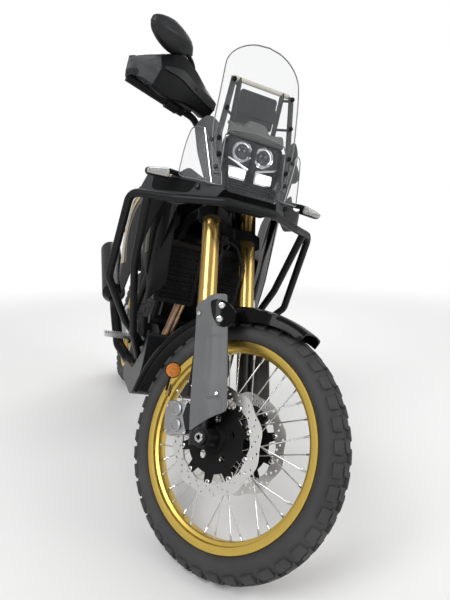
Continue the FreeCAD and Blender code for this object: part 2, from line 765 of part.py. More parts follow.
def fork_guards():
    """Broad plates outside the inner tubes, folded round their front."""
    outline = [(16, 30, 6), (28, 14, 6), (150, 60, 8), (128, 100, 30), (134, 290, 60), (96, 384, 20), (60, 392, 14),
               (34, 300, 60), (14, 100, 40)]
    side = size.leg_side + size.fork_tube_radius + 3
    wall = size.panel_thickness
    bow = [(0, side), (84, side, 40), (150, side - 36), (150, side - 36 + wall), (84, side + wall, 44), (0, side + wall)]
    face = prism("guard_outline", "XZ", outline, -side - 40, -side + 60, UPRIGHT_FORK)
    band = prism("guard_bow", "XY", bow, 0, 420, UPRIGHT_FORK)
    pads = [rod(f"guard_pad_{at}", leg_point(at, 1) + Y * (size.fork_rod_radius + size.seat_gap),
                leg_point(at, 1) + Y * (size.fork_tube_radius + 4), "9") for at in (150, 250)]
    return both("fork_guards", fused("fork_guard", [common("guard_plate", face, band)] + pads))


def front_calipers():
    """Twin-piston calipers behind the legs, astride the discs."""
    place = Placement(fork(57, size.leg_offset - 93, 0), Rotation(Y, -size.rake))
    outline = [(-38, -46, 14), (38, -46, 12), (38, 46, 12), (-38, 46, 14)]
    reach = size.front_disc_plane
    body = prism("caliper_block", "XZ", outline, -(reach + 24), -(reach - 20), place)
    slot = prism("caliper_slot", "XZ", [(-27, -60), (80, -60), (80, 60), (-27, 60)],
                 -(reach + size.disc_thickness / 2 + 3), -(reach - size.disc_thickness / 2 - 3), place)
    pistons = [rod(f"caliper_piston_{along}", place.multVec(Vector(2, reach + 20, along)),
                   place.multVec(Vector(2, reach + 28, along)), "17") for along in (-22, 22)]
    bridge = prism("caliper_bridge", "XZ", [(-38, -26, 5), (-46, -20, 5), (-46, 20, 5), (-38, 26, 5)],
                   -(reach + 16), -(reach - 14), place)
    return both("front_calipers", cut("caliper", fused("caliper_solid", [body, bridge] + pistons), slot))


# Chassis

HEAD_LOW = size.low_clamp_at + size.low_clamp_height + 1
HEAD_TOP = size.top_clamp_at - 1


def frame():
    """Steering head, two top beams, two hangers to the engine, braces and pivot plates."""
    head = rod("head_tube", fork(HEAD_LOW), fork(HEAD_TOP), "head_tube_radius")
    pieces = [head]
    top = size.plate_side + size.plate_thickness / 2
    for sign in SIDES:
        tag = "left" if sign > 0 else "right"
        beam = [HEAD + Vector(-12, sign * 18, 8), BEAM_KNEE + Y * sign * 108, BEAM_FOOT + Y * sign * 124,
                Vector(568, sign * top, 480)]
        pieces.append(tube("top_beam_" + tag, beam, "frame_tube_radius", 70))
        hanger = [HEAD + Vector(-88, sign * 84, -60), HEAD_BRACE + Y * sign * 120, ENGINE_FRONT + Y * sign * 134]
        pieces.append(tube("hanger_" + tag, hanger, "hanger_radius", 50))
        pieces.append(rod("brace_" + tag, HEAD_BRACE * 0.6 + ENGINE_FRONT * 0.4 + Y * sign * 126,
                          Vector(800, sign * 121, beam_middle(800) - 4), "hanger_radius - 3"))
        pieces.append(rod("hanger_boss_" + tag, ENGINE_FRONT + Y * sign * 117.3, ENGINE_FRONT + Y * sign * 148, "18"))
        plate = [(520, 372, 12), (612, 364, 16), (618, 450, 30), (604, 560, 12), (540, 560, 12), (524, 470, 30)]
        low = size.plate_side if sign < 0 else -size.plate_side - size.plate_thickness
        pieces.append(prism("pivot_plate_" + tag, "XZ", plate, low, low + size.plate_thickness))
    pieces.append(rod("head_brace", HEAD_BRACE - Y * 118, HEAD_BRACE + Y * 118, "hanger_radius - 2"))
    pieces.append(rod("head_strut", fork(718, -18), HEAD_BRACE, "hanger_radius"))
    pieces.append(rod("seat_cross_tube", SEAT_TUBE - Y * 124, SEAT_TUBE + Y * 124, "frame_tube_radius - 3"))
    whole = fused("frame_solid", pieces + stand_bracket())
    bores = [rod("head_bore", fork(HEAD_LOW - 40), fork(HEAD_TOP + 40), "stem_radius + running_gap"),
             rod("pivot_bore", PIVOT - Y * 200, PIVOT + Y * 200, "pivot_radius + seat_gap")]
    return cut("frame", whole, fused("frame_bores", bores))


ENGINE_FRONT = Vector(985, 0, 560)
HEAD_BRACE = HEAD + Vector(-80, 0, -156)
BEAM_KNEE, BEAM_FOOT = HEAD + Vector(-132, 0, -88), Vector(720, 0, 770)
SEAT_TUBE = Vector(716, 0, 766)
BRIDGE_ARM = Vector(423, 0, 440)


def engine():
    """Crankcase with inclined cylinders and head, round side covers and exhaust ports."""
    case = slab("crankcase", [(962, 322, 20), (996, 420, 30), (985, 520, 20), (880, 556, 10), (664, 556, 30),
                              (606, 500, 30), (606, 400, 30), (648, 322, 24)], 100)
    block = slab("cylinders", [(772, 540), (960, 540), (1002, 764, 22), (820, 790, 22)], 105)
    cover = slab("head_cover", [(834, 780), (990, 758), (984, 800, 24), (846, 814, 24)], 92)
    joint = slab("head_joint", [(789, 668), (979, 650), (982, 664), (792, 682)], 110)
    covers = [side_cover("clutch_cover", Vector(752, -96, 440), -1, [(84, 32), (78, 40), (62, 42), (56, 49), (30, 51)]),
              side_cover("water_pump", Vector(884, -96, 420), -1, [(44, 22), (38, 34), (32, 42.7)]),
              side_cover("alternator_cover", Vector(880, 96, 430), 1, [(74, 26), (68, 38), (44, 40), (38, 42.7)])]
    ribs = [slab(f"sump_rib_{at}", [(at, 330), (at + 8, 330), (at + 10, 300, 3), (at - 2, 300, 3)], 84)
            for at in (700, 750, 800, 850, 900)]
    oil_filter = rod("oil_filter", Vector(970, 0, 408), Vector(1014, 0, 408), "30")
    ports = [rod(f"port_{sign + 2}", Vector(950, sign * 52, 694), Vector(1008, sign * 52, 694), "25") for sign in SIDES]
    boss = rod("front_mount", ENGINE_FRONT - Y * 117, ENGINE_FRONT + Y * 117, "20")
    shaft = rod("output_shaft", SPROCKET_AT + Y * 78, SPROCKET_AT + Y * (size.chain_side + 9), "shaft_radius")
    whole = fused("engine_solid", [case, block, joint, cover, oil_filter, boss] + covers + ribs + ports)
    room = prism("sprocket_room", "XZ", [(560, 366), (664, 366, 30), (706, 400, 30), (706, 460, 30), (664, 494, 30),
                                              (560, 494)], -160,
                 -(size.chain_side - 12))
    return fused("engine", [cut("engine_cut", whole, room), shaft])


SPROCKET_AT = Vector(644, 0, 430)


def side_cover(name, centre, sign, steps):
    """Round cover on the engine's side, stepped by (radius, reach outwards)."""
    body = new_body(name, Placement(centre, Rotation()))
    outline = [(0, 0), (steps[0][0], 0)] + steps + [(0, steps[-1][1])]
    revolve(body, [(r, sign * y) for r, y in outline])
    return body


def radiators():
    """A core on each side of the fork's swing, joined by a strap, each behind a slatted guard."""
    cores = []
    for sign in SIDES:
        tag = "left" if sign > 0 else "right"
        low, high = (34, 176)
        side = (low, high) if sign > 0 else (-high, -low)
        outline = [(side[0], -212, 8), (side[1], -212, 8), (side[1], -4, 8), (side[0], 8, 8)]
        core = prism("core_" + tag, "YZ", outline, 34, 62, Placement(HEAD_BRACE, Rotation()))
        slots = [[(side[0] + 12, z), (side[1] - 12, z), (side[1] - 12, z + 9), (side[0] + 12, z + 9)]
                 for z in range(-200, -20, 16)]
        pad(core, sketch(core, "YZ", [outline] + slots, offset=62), 10)
        cores.append(core)
    strap = prism("radiator_strap", "YZ", [(-60, -162), (60, -162), (60, -138), (-60, -138)], 40, 50,
                  Placement(HEAD_BRACE, Rotation()))
    arms = [rod(f"radiator_arm_{sign + 2}", HEAD_BRACE + Vector(38, sign * 90, 0),
                HEAD_BRACE + Vector(size.hanger_radius - 2 + size.seat_gap, sign * 90, 0), "7") for sign in SIDES]
    return fused("radiators", cores + [strap] + arms)


BEAM_SLOPE = (BEAM_KNEE.z - BEAM_FOOT.z) / (BEAM_KNEE.x - BEAM_FOOT.x)


def beam_middle(x):
    return BEAM_FOOT.z + (x - BEAM_FOOT.x) * BEAM_SLOPE


def beam_top(x):
    """Height at which the tank lies on the top beams."""
    return beam_middle(x) + (size.frame_tube_radius + size.seat_gap) * math.sqrt(1 + BEAM_SLOPE ** 2)


def fuel_tank():
    ahead = HEAD.x - 182
    side = [(716, beam_top(716)), (ahead, beam_top(ahead)), (ahead + 80, HEAD.z - 10), (ahead + 52, HEAD.z + 72, 30),
            (930, HEAD.z + 82, 60), (810, 1010, 80), (726, 896, 30)]
    middle = slab("tank_middle", side, 150)
    lobe = [(760, 830, 20), (ahead + 90, HEAD.z - 218, 60), (ahead + 112, HEAD.z - 78, 60),
            (ahead + 70, HEAD.z + 12, 60), (900, HEAD.z - 8, 60), (790, 900, 40)]
    lobes = [prism(f"tank_lobe_{sign + 2}", "XZ", lobe, *sorted((sign * 142, sign * 182))) for sign in SIDES]
    return fused("fuel_tank", [middle] + lobes)


SEAT_UNDER = [(694, 806), (420, 812), (330, 858), (50, 884)]


def seat():
    top = [(713, 876, 10), (640, 866, 60), (420, 858, 80), (360, 902, 60), (60, 930, 30)]
    side = SEAT_UNDER[:1] + top + [(x, z, 10) for x, z in reversed(SEAT_UNDER[1:])]
    plan = [(40, -110, 50), (320, -125, 60), (460, -165, 60), (640, -110, 80), (720, -85, 20), (720, 85, 20),
            (640, 110, 80), (460, 165, 60), (320, 125, 60), (40, 110, 50)]
    return common("seat", slab("seat_side", side, 190), prism("seat_plan", "XY", plan, 780, 960))


def rail_middle(x):
    """Height of the rails' middle below the seat."""
    for (ahead, high), (behind, higher) in zip(SEAT_UNDER, SEAT_UNDER[1:]):
        if behind <= x <= ahead:
            break
    return high + (ahead - x) * (higher - high) / (ahead - behind) - size.subframe_radius - 2


BRIDGE_FRONT, BRIDGE_REAR = Vector(250, 0, rail_middle(250)), Vector(-60, 0, rail_middle(50) + 9)
RAIL_END = Vector(-90, 84, rail_middle(50) + 11)


def subframe():
    """Rails behind the seat, with lower struts."""
    pieces = []
    for sign in SIDES:
        tag = "left" if sign > 0 else "right"
        knee = Vector(640, 0, rail_middle(640))
        start = SEAT_TUBE + (knee - SEAT_TUBE).normalize() * (size.frame_tube_radius - 3 + size.seat_gap)
        rail = [start + Y * sign * 100, knee + Y * sign * 100]
        rail += [Vector(x, sign * 100, rail_middle(x)) for x in (420, 330)]
        rail += [Vector(50, sign * 90, rail_middle(50)), Vector(RAIL_END.x, sign * RAIL_END.y, RAIL_END.z)]
        pieces.append(tube("rail_" + tag, rail, "subframe_radius", 60))
        pieces.append(rod("strut_" + tag, Vector(572, sign * (size.plate_side - 10.3), 556),
                          Vector(250, sign * 98, BRIDGE_FRONT.z), "subframe_radius - 1"))
    pieces.append(rod("rail_bridge", BRIDGE_REAR - Y * 86, BRIDGE_REAR + Y * 86, "subframe_radius - 1"))
    pieces.append(rod("rail_bridge_front", BRIDGE_FRONT - Y * 100, BRIDGE_FRONT + Y * 100, "subframe_radius - 1"))
    return fused("subframe", pieces)


def rail_top(x):
    """Height at which a foot stands on the rails behind the seat."""
    ends = Vector(50, 0, rail_middle(50)), RAIL_END
    return ends[0].z + (50 - x) * (ends[1].z - ends[0].z) / (50 - RAIL_END.x) + size.subframe_radius + 0.6


def rear_rack():
    """Luggage deck over the tail with grab rails, open between its slats."""
    body = new_body("rear_rack_deck")
    deck = [(-170, -110, 40), (60, -120, 30), (60, 120, 30), (-170, 110, 40)]
    slots = [[(-150 + 50 * i, -80), (-124 + 50 * i, -80), (-124 + 50 * i, 80), (-150 + 50 * i, 80)] for i in range(4)]
    drawn = sketch(body, "XY", [deck] + slots, offset=948)
    pad(body, drawn, 12)
    feet = [rod(f"rack_foot_{n}", Vector(x, side, rail_top(x)), Vector(x, side, 950), "8")
            for n, (x, side) in enumerate(((-60, 85), (-60, -85), (30, 89), (30, -89)))]
    return fused("rear_rack", [body] + feet)


def rear_mudguard():
    """Mudguard under the subframe's bridges, bent down to the plate carrier."""
    slope = (BRIDGE_REAR.z - BRIDGE_FRONT.z) / (BRIDGE_REAR.x - BRIDGE_FRONT.x)

    def under(x, below=0.0):
        """Height of the mudguard's top face."""
        return BRIDGE_FRONT.z + (x - BRIDGE_FRONT.x) * slope - size.subframe_radius + 1 - size.seat_gap - below

    outline = [(262, under(262)), (-170, under(-170), 40), (-250, 806, 60), (-356, 640), (-348, 634), (-243, 798, 56),
               (-168, under(-168, 9), 34), (262, under(262, 9))]
    return slab("rear_mudguard", outline, 78)


def lamp_seat(x):
    slope = (BRIDGE_REAR.z - BRIDGE_FRONT.z) / (BRIDGE_REAR.x - BRIDGE_FRONT.x)
    return BRIDGE_FRONT.z + (x - BRIDGE_FRONT.x) * slope - size.subframe_radius + 1


def tail_panels():
    under = [(x, z - 0.5, 10) for x, z in SEAT_UNDER]
    outline = under + [(-100, 886, 20), (100, 838, 40), (330, 790, 60), (560, 640, 40), (640, 660, 30)]
    left = prism("tail_panel_left", "XZ", outline, -128, -124)
    bosses = [rod(f"panel_boss_{x}", Vector(x, 100 + size.subframe_radius + size.seat_gap, rail_middle(x)),
                  Vector(x, 125, rail_middle(x)), "8") for x in (520, 376)]
    return both("tail_panels", fused("tail_panel", [left] + bosses))


def tail_light():
    return slab("tail_light", [(-100, lamp_seat(-100)), (-148, lamp_seat(-148)), (-160, 892, 8), (-148, 906, 8), (-100, 902, 4)], 50)


def swingarm():
    """Two beams with a bridge ahead of the tyre, a cross tube at the pivot and axle plates."""
    half = size.arm_height / 2
    pieces = []
    rear, ahead = REAR_AXLE, PIVOT
    outline = [(rear.x - 46, rear.z - 24, 12), (rear.x + 60, rear.z - 30, 30), (ahead.x + 10, ahead.z - half + 4, 20),
               (ahead.x + 28, ahead.z, 20), (ahead.x + 6, ahead.z + half - 4, 20), (300, 424, 60),
               (rear.x + 50, rear.z + 28, 30), (rear.x - 46, rear.z + 22, 12)]
    for sign in SIDES:
        low = sign * size.arm_side - size.arm_width / 2
        beam = prism(f"arm_beam_{sign + 2}", "XZ", outline, low, low + size.arm_width)
        pieces.append(beam)
    side = size.arm_side
    pieces.append(rod("pivot_tube", PIVOT - Y * side, PIVOT + Y * side, "pivot_radius + 12"))
    pieces.append(slab("arm_bridge", [(398, 400, 8), (448, 400, 8), (448, BRIDGE_ARM.z), (398, BRIDGE_ARM.z)], side - 4))
    whole = fused("swingarm_solid", pieces)
    bores = [rod("arm_pivot_bore", PIVOT - Y * 200, PIVOT + Y * 200, "pivot_radius + seat_gap"),
             rod("arm_axle_bore", REAR_AXLE - Y * 200, REAR_AXLE + Y * 200, "axle_radius + seat_gap")]
    return cut("swingarm", whole, fused("swingarm_bores", bores))


def pivot_spindle():
    """Bolt through the pivot plates and the swingarm, with a head at each end."""
    out = size.plate_side + size.plate_thickness + size.seat_gap
    outline = [(0, -out - 8), (size.pivot_radius + 6, -out - 8), (size.pivot_radius + 6, -out), (size.pivot_radius, -out),
               (size.pivot_radius, out), (size.pivot_radius + 6, out), (size.pivot_radius + 6, out + 8), (0, out + 8)]
    body = new_body("pivot_spindle", Placement(PIVOT, Rotation()))
    revolve(body, outline)
    return body


def rear_spindle():
    """Hollow axle through the arms, with spacers to the hub."""
    arm_in = size.arm_side - size.arm_width / 2 - size.seat_gap
    arm_out = size.arm_side + size.arm_width / 2 + size.seat_gap
    left = hub_side(size.chain_side, size.sprocket_thickness) + size.running_gap
    right = hub_side(size.rear_disc_plane, size.disc_thickness) + size.running_gap
    r, wide = size.axle_radius, size.axle_radius + 5
    outline = []
    for sign, hub in ((1, left), (-1, right)):
        half = [(size.axle_bore, arm_out + 10), (wide + 3, arm_out + 10), (wide + 3, arm_out), (r, arm_out), (r, arm_in),
                (wide, arm_in), (wide, hub), (r, hub)]
        outline += half if sign > 0 else [(r, -y) for r, y in reversed(half)]
    body = new_body("rear_spindle", Placement(REAR_AXLE, Rotation()))
    revolve(body, outline)
    return body


def swingarm_shafts():
    return group("swingarm_shafts", [pivot_spindle(), rear_spindle()])


def shock():
    """Damper and coil spring between the frame's cross tube and the swingarm's bridge."""
    eye = 14
    foot = Vector(BRIDGE_ARM.x, 0, BRIDGE_ARM.z + eye + size.seat_gap)
    run = (SEAT_TUBE - foot).normalize()
    top = SEAT_TUBE - run * (size.frame_tube_radius - 3 + eye + size.seat_gap)
    pieces = [rod("shock_rod", foot, top, "9"), rod("shock_can", top - run * 170, top - run * 22, "24"),
              rod("shock_spring", foot + run * 50, top - run * 50, "37")]
    for name, at in (("shock_foot_eye", foot), ("shock_top_eye", top)):
        pieces.append(rod(name, at - Y * 17, at + Y * 17, str(eye)))
    return fused("shock", pieces)


def chain_line():
    """The chain's middle line round both sprockets: a point for each length along it, and its outward direction."""
    small, large = pitch_radius("front_sprocket_teeth"), pitch_radius("rear_sprocket_teeth")
    start, end = Vector(SPROCKET_AT.x, SPROCKET_AT.z, 0), Vector(REAR_AXLE.x, REAR_AXLE.z, 0)
    line = end - start
    base, spread = math.atan2(line.y, line.x), math.acos((small - large) / line.Length)
    straight = math.sqrt(line.Length ** 2 - (large - small) ** 2)

    def around(centre, radius, turn):
        out = Vector(math.cos(turn), math.sin(turn), 0)
        return centre + out * radius, out

    # length of a run, and its point by the share of that length
    runs = [
        (straight, lambda t: (around(start, small, base + spread)[0] * (1 - t) + around(end, large, base + spread)[0] * t,
                              around(start, small, base + spread)[1])),
        (2 * spread * large, lambda t: around(end, large, base + spread * (1 - 2 * t))),
        (straight, lambda t: (around(end, large, base - spread)[0] * (1 - t) + around(start, small, base - spread)[0] * t,
                              around(start, small, base - spread)[1])),
        (2 * (math.pi - spread) * small, lambda t: around(start, small, base - spread - 2 * (math.pi - spread) * t)),
    ]
    total = sum(length for length, _ in runs)
    links = round(total / size.chain_pitch)
    points = []
    for number in range(2 * links):
        at = number * total / (2 * links)
        for length, point in runs:
            if at < length:
                break
            at -= length
        points.append(point(at / length))
    return points


def chain_loop():
    """Links round both sprockets, wide at each pin and waisted between."""
    body = new_body("chain_loop", Placement(Y * size.chain_side, Rotation()))
    points = chain_line()
    loops = []
    for at_pin, at_waist in ((7.5, 5), (-3.5, -3.5)):
        edge = [at + out * (at_waist if n % 2 else at_pin) for n, (at, out) in enumerate(points)]
        loops.append([(v.x, v.y) for v in edge])
    pad(body, sketch(body, "XZ", loops), 15, "Symmetric")
    return body


def chain_drive():
    return group("chain_drive", [chain_loop(), sprocket("front_sprocket", "front_sprocket_teeth", SPROCKET_AT,
                                                        "shaft_radius + seat_gap")])


def rear_caliper():
    place = Placement(REAR_AXLE + Vector(92, 0, 74), Rotation(Y, 40))
    outline = [(-30, -30, 10), (30, -30, 10), (30, 30, 10), (-30, 30, 10)]
    reach = size.rear_disc_plane
    block = prism("rear_caliper_block", "XZ", outline, reach - 12, reach + 15, place)
    slot = prism("rear_caliper_slot", "XZ", [(-70, -70), (70, -70), (70, 8), (-70, 8)],
                 reach - size.disc_thickness / 2 - 2.5, reach + size.disc_thickness / 2 + 2.5, place)
    return cut("rear_caliper", block, slot)


def exhaust():
    """Two headers from the ports, a collector on the right and a high silencer."""
    headers = [
        tube("header_left", [Vector(1008.4, 52, 694), Vector(1062, 52, 694), Vector(1066, 30, 470),
                             Vector(1020, -110, 318), Vector(800, -136, 308)], "header_radius", 42),
        tube("header_right", [Vector(1008.4, -52, 694), Vector(1060, -52, 694), Vector(1062, -100, 470),
                              Vector(1020, -140, 350), Vector(800, -138, 312)], "header_radius", 42),
    ]
    pipe = tube("link_pipe", [Vector(880, -136, 310), Vector(700, -138, 310), Vector(600, -186, 356),
                              Vector(470, -214, 490), Vector(330, -222, 562)], "header_radius + 4", 70)
    run = [Vector(360, -222, 552), Vector(-110, -232, 740)]
    silencer = rod("silencer", run[0], run[1], "silencer_radius")
    cone = doc.addObject("Part::Cone", "silencer_cone")
    direction = (run[1] - run[0]).normalize()
    cone.Placement = Placement(run[0] - direction * 60, Rotation(Z, direction))
    bind(cone, Radius1="header_radius + 5", Radius2="silencer_radius", Height=60.0)
    return fused("exhaust", headers + [pipe, cone, silencer])


def skid_plate():
    """Pressed tray under the engine, turned up in front and at the sides."""
    wall = size.skid_thickness
    outer = [(1122, 540, 20), (1112, 390, 120), (1000, 262, 80), (752, 258, 20), (748, 300, 10), (800, 336, 30),
             (940, 352, 60), (1070, 460, 30), (1090, 540, 20)]
    inner = [(1122 - wall, 600), (1112 - wall, 390, 116), (1000 - 2, 262 + wall, 76), (700, 258 + wall), (700, 600)]
    shell = slab("skid_outer", outer, 165)
    body = new_body("skid_inner")
    pad(body, sketch(body, "XZ", [inner]), 2 * (165 - wall), "Symmetric")
    return cut("skid_plate", shell, body)


def crash_bars():
    """Tube loop round the front and down both sides to the engine, with an inner upright each side."""
    right = [Vector(950, 152, 452), Vector(1000, 235, 540), NOSE + Vector(-160, 333, -430), NOSE + Vector(-79, 324, -149),
             NOSE + Vector(30, 206, -145), NOSE + Vector(127, 76, -130)]
    points = right + [Vector(p.x, -p.y, p.z) for p in reversed(right)]
    pieces = [tube("crash_loop", points, "crash_tube_radius", 40)]
    for sign in SIDES:
        upright = [NOSE + Vector(-34, sign * 276, -147), NOSE + Vector(-130, sign * 262, -370), Vector(1010, sign * 200, 500),
                   Vector(940, sign * 152, 400)]
        pieces.append(tube(f"crash_upright_{sign + 2}", upright, "crash_tube_radius", 40))
        foot = Vector(945, sign * 146, 426)
        pieces.append(prism(f"crash_foot_{sign + 2}", "XZ", [(900, 372, 12), (975, 372, 12), (975, 476, 12), (900, 476, 12)],
                            *sorted((-sign * 139, -sign * 147))))
    return fused("crash_bars", pieces)


STAY_BACK = size.stay_radius + size.seat_gap
LAMP_VIEW = [(-80, -100, 14), (80, -100, 14), (96, 0, 30), (92, 80, 20), (-92, 80, 20), (-96, 0, 30)]
LAMP_LOW, LAMP_TOP = Vector(122, 0, -96), Vector(62, 0, 76)
AT_NOSE = Placement(NOSE, Rotation())


def lamp_face(out):
    """Lower and upper end of the lamp's slanted front in side view, moved outwards."""
    run = (LAMP_TOP - LAMP_LOW).normalize()
    away = Vector(run.z, 0, -run.x) * out
    return [(p.x + away.x, p.z + away.z) for p in (LAMP_LOW, LAMP_TOP)]


def headlamp():
    """Deep housing with twin projectors over two light modules, behind a slanted glass."""
    low, top = lamp_face(0)
    body = slab("lamp_side", [(*low, 6), (*top, 6), (STAY_BACK, 76), (STAY_BACK, -70, 10)], 120, AT_NOSE)
    shell = common("lamp_shell", body, prism("lamp_front", "YZ", LAMP_VIEW, -60, 140, AT_NOSE))
    opening = [(u, v) for u, v in lamp_face(10)] + [(36, 66), (66, -86)]
    room = common("lamp_room", slab("lamp_room_side", opening, 120, AT_NOSE),
                  prism("lamp_room_front", "YZ", [(u * 0.9, v * 0.86, r * 0.8) for u, v, r in LAMP_VIEW], 0, 160, AT_NOSE))
    inside = []
    for sign in SIDES:
        lens = new_body(f"projector_{sign + 2}", Placement(NOSE + Vector(30, sign * 36, 34), Rotation(Z, -90)))
        revolve(lens, [(0, 0), (28, 0), (28, 24), (24, 24), (22, 29), (12, 35), (0, 37)])
        inside.append(lens)
        inside.append(prism(f"module_{sign + 2}", "YZ", sorted([(sign * 14, -32, 4), (sign * 58, -26, 4)]) +
                            sorted([(sign * 58, -6, 4), (sign * 14, -12, 4)], reverse=True), 40, 66, AT_NOSE))
    inside.append(prism("lamp_divider", "YZ", [(-74, -2), (74, -2), (74, 3), (-74, 3)], 30, 74, AT_NOSE))
    housing = fused("lamp_housing", [cut("lamp_cup", shell, room)] + inside)
    near, far = lamp_face(size.seat_gap), lamp_face(size.seat_gap + 3)
    glass = common("lamp_glass", slab("lamp_glass_side", near + far[::-1], 120, AT_NOSE),
                   prism("lamp_glass_front", "YZ", LAMP_VIEW, 0, 160, AT_NOSE))
    return group("headlamp", [housing, glass])


SCREEN_FOOT = NOSE + Vector(71, 0, -45)
SCREEN_TILT = 12
SCREEN_BOW, SCREEN_HALF = 44, 140
SCREEN_RADIUS = (SCREEN_BOW ** 2 + SCREEN_HALF ** 2) / (2 * SCREEN_BOW)


def screen_point(side, height):
    """Point on the screen's outer face, height from the nose."""
    up = (NOSE.z + height - SCREEN_FOOT.z) / math.cos(math.radians(SCREEN_TILT))
    out = SCREEN_BOW - 4 - SCREEN_RADIUS + math.sqrt(SCREEN_RADIUS ** 2 - side ** 2)
    return Vector(SCREEN_FOOT.x + out - up * math.sin(math.radians(SCREEN_TILT)), side, NOSE.z + height)


def fairing_frame():
    """Tube stay from the steering head that carries lamp, screen and display."""
    pieces = []
    for sign in SIDES:
        tag = "left" if sign > 0 else "right"
        stay = [fork(756, 34, sign * 18), fork(756, 127, sign * 22), NOSE + Y * sign * 70,
                NOSE + Vector(0, sign * 74, 258)]
        pieces.append(tube("stay_" + tag, stay, "stay_radius", 40))
        for height, side in ((145, 108), (236, 99)):
            screen = screen_point(sign * side, height)
            seat_at = screen - X * (size.screen_thickness * 1.15 + 1.9)
            pieces.append(rod(f"screen_arm_{tag}_{height}", NOSE + Vector(0, sign * 73, height), seat_at, "4"))
    pieces.append(rod("screen_bar", NOSE + Vector(0, -96, 255), NOSE + Vector(0, 96, 255), "7"))
    foot = prism("stay_foot", "YZ", [(-30, 738, 6), (30, 738, 6), (30, 776, 6), (-30, 776, 6)],
                 size.head_tube_radius + size.seat_gap, size.head_tube_radius + size.seat_gap + 8, UPRIGHT_FORK)
    pieces.append(foot)
    pieces.append(prism("display_plate", "YZ", [(-70, 160), (70, 160), (70, 200), (-70, 200)], -2, 2, AT_NOSE))
    pieces.append(rod("stay_bridge", NOSE + Vector(0, -68, 50), NOSE + Vector(0, 68, 50), "7"))
    return group("fairing_frame", [fused("stay_frame", pieces), display()])


def display():
    """Flat dash with a raised rim round its face."""
    outline = [(-63, 132, 10), (63, 132, 10), (63, 234, 10), (-63, 234, 10)]
    body = prism("display_case", "YZ", outline, -26, -2 - size.seat_gap, AT_NOSE)
    face = prism("display_face", "YZ", [(u * 0.9, (v - 183) * 0.86 + 183, r * 0.6) for u, v, r in outline], -30, -23, AT_NOSE)
    return cut("display", body, face)


def windscreen():
    """Clear shield: one bent sheet that leans back, its sides reaching down beside the lamp."""
    place = Placement(SCREEN_FOOT, Rotation(Y, -SCREEN_TILT))
    outline = [(-120, -6, 10), (-101, -6, 10), (-101, 128, 20), (101, 128, 20), (101, -6, 10), (120, -6, 10),
               (138, 140, 60), (128, 300, 80), (132, 428, 50), (-132, 428, 50), (-128, 300, 80), (-138, 140, 60)]
    radius = SCREEN_RADIUS
    inner = radius - size.screen_thickness
    body = new_body("screen_sheet", place)
    centre = Vector(SCREEN_BOW - radius - 4, 0, 0)
    angle = math.asin(SCREEN_HALF / radius)

    def at(r, turn):
        return centre + Vector(r * math.cos(turn), r * math.sin(turn), 0)

    drawn = sketch(body, "XY", offset=-20)
    drawn.addGeometry([Part.Arc(at(radius, -angle), at(radius, 0), at(radius, angle)),
                       Part.LineSegment(at(radius, angle), at(inner, angle)),
                       Part.Arc(at(inner, angle), at(inner, 0), at(inner, -angle)),
                       Part.LineSegment(at(inner, -angle), at(radius, -angle))], False)
    pad(body, drawn, 480)
    face = prism("screen_face", "YZ", outline, -120, 120, place)
    return common("windscreen", body, face)


PANEL_BOW = [(100, 112), (-80, 178, 160), (-330, 222)]


def side_panels():
    """Nose panels beside the lamp, running back to the tank's shrouds, and the brow over the lamp."""
    outline = [(46, -50, 12), (24, 56, 16), (-80, 0, 40), (-230, -70, 30), (-300, -130, 20), (-320, -270, 40),
               (-250, -370, 30), (-170, -410, 20), (-100, -230, 40), (-40, -120, 60)]
    wall = size.panel_thickness
    bow = PANEL_BOW + [(u, v - wall, *r) for u, v, *r in reversed(PANEL_BOW)]
    side = prism("shroud_side", "XZ", outline, -300, 0, AT_NOSE)
    band = prism("shroud_band", "XY", bow, -430, 90, AT_NOSE)
    step = [(20, 30, 10), (-80, -16, 30), (-200, -72, 24), (-280, -150, 20), (-240, -250, 30), (-150, -190, 40), (-40, -70, 40)]
    raised = common("shroud_raised", prism("shroud_step", "XZ", step, -300, 0, AT_NOSE),
                    prism("shroud_step_band", "XY", [(u, v + 2.5, *r) for u, v, *r in PANEL_BOW] +
                          [(u, v - wall + 1, *r) for u, v, *r in reversed(PANEL_BOW)], -430, 90, AT_NOSE))
    seat_at = HEAD_BRACE + Vector(53, 176 + size.seat_gap, -102)
    boss = rod("shroud_boss", seat_at, seat_at + Y * 12.7, "10")
    brow = slab("brow", [(STAY_BACK, 76.6), (58, 76.6), (62, 84, 6), (30, 104, 12), (STAY_BACK, 108)], 86, AT_NOSE)
    hump = slab("brow_hump", [(STAY_BACK + 6, 96), (40, 90), (44, 108, 8), (24, 120, 10), (STAY_BACK + 6, 122)], 30, AT_NOSE)
    return group("side_panels", [both("shrouds", fused("shroud_solid", [common("shroud", side, band), raised, boss])),
                                 fused("lamp_brow", [brow, hump])])


def front_indicators():
    """Flat lamps on short stalks, seated on the nose panels."""
    out = Vector(66, 180, 0).normalize()
    foot = NOSE + Vector(-24, 157.5, -68) + out * size.seat_gap
    stalk = rod("indicator_stalk", foot, foot + out * 78, "8")
    head = prism("indicator_head", "YZ", [(228, -90, 10), (300, -94, 10), (304, -74, 10), (232, -58, 12)], -14, 10,
                 Placement(NOSE - X * 2, Rotation()))
    lens = prism("indicator_lens", "YZ", [(234, -86, 7), (296, -90, 7), (299, -77, 7), (237, -64, 9)], 8, 16,
                 Placement(NOSE - X * 2, Rotation()))
    return both("front_indicators", fused("front_indicator", [stalk, head, lens]))


